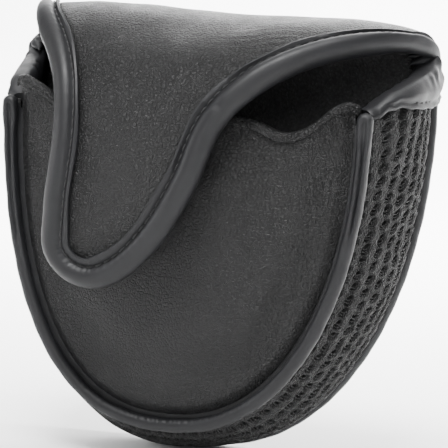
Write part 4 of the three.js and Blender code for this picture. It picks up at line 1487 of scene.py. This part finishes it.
# Stage, light and camera --------------------------------------------------------------------
def backdrop():
    """A pale floor that curves up into a wall."""
    start, radius = 1.2, 0.9
    run = [(-3.0, 0.0)]
    for a in np.linspace(0, 1.5, 16):
        run.append((start + radius * math.sin(a), radius - radius * math.cos(a)))
    run.append((2.12, 3.0))
    x = np.linspace(-3, 3, 13)
    grid = np.array([[(px, y, z) for px in x] for y, z in run])
    mesh = bpy.data.meshes.new("backdrop")
    mesh.from_pydata(grid.reshape(-1, 3).tolist(), [], grid_faces(len(run), len(x)))
    piece = bpy.data.objects.new("backdrop", mesh)
    bpy.context.scene.collection.objects.link(piece)
    mesh.polygons.foreach_set("use_smooth", [True] * len(mesh.polygons))
    paper = Finish("backdrop_paper", 0.9, 0.1)
    paper.colour(paper.noise(0.5), (0.90, 0.90, 0.90), (0.93, 0.93, 0.93))
    mesh.materials.append(paper.material)


def area_light(name, place, aim, size, power):
    data = bpy.data.lights.new(name, "AREA")
    data.shape = "RECTANGLE"
    data.size = size
    data.size_y = size
    data.energy = power
    light = bpy.data.objects.new(name, data)
    light.location = place
    light.rotation_mode = "QUATERNION"
    light.rotation_quaternion = (Vector(aim) - Vector(place)).to_track_quat("-Z", "Y")
    bpy.context.scene.collection.objects.link(light)


def world(strength):
    made = bpy.data.worlds.new("studio")
    made.use_nodes = True
    background = made.node_tree.nodes["Background"]
    background.inputs["Color"].default_value = (1, 1, 1, 1)
    background.inputs["Strength"].default_value = strength
    bpy.context.scene.world = made


def camera():
    """Three-quarter view from the front right, near level, slightly tilted."""
    yaw, rise, roll = math.radians(20), math.radians(5), math.radians(2.4)
    distance = 520.0
    back_way = np.array([math.sin(yaw) * math.cos(rise), -math.cos(yaw) * math.cos(rise), math.sin(rise)])
    right = np.array([math.cos(yaw), math.sin(yaw), 0])
    up = np.cross(back_way, right)
    turned_right = right * math.cos(roll) + up * math.sin(roll)
    turned_up = up * math.cos(roll) - right * math.sin(roll)
    at = (np.array([0, -18.5, -32.0]) + back_way * distance) * 0.001 + ORIGIN
    data = bpy.data.cameras.new("camera")
    data.sensor_width = 36.0
    data.lens = 141.557142857
    data.shift_x = 0.0424107143
    data.shift_y = -0.0290178571
    data.clip_start = 0.01
    data.clip_end = 20
    made = bpy.data.objects.new("camera", data)
    axes = Matrix((turned_right, turned_up, back_way)).transposed().to_4x4()
    made.matrix_world = Matrix.Translation(Vector(at)) @ axes
    bpy.context.scene.collection.objects.link(made)
    bpy.context.scene.camera = made


backdrop()
world(0.33)
MIDDLE_OF_COVER = (0, 0, 0.07)
area_light("overhead", (0.05, -0.5, 1.15), MIDDLE_OF_COVER, 0.45, 34)
area_light("left", (-0.9, -0.35, 0.35), MIDDLE_OF_COVER, 0.5, 5)
area_light("front", (0.45, -1.1, 0.6), (0, 0, 0.08), 0.5, 7)
area_light("wall", (0, 0.3, 1.6), (0, 1.9, 1.25), 1.6, 480)
camera()
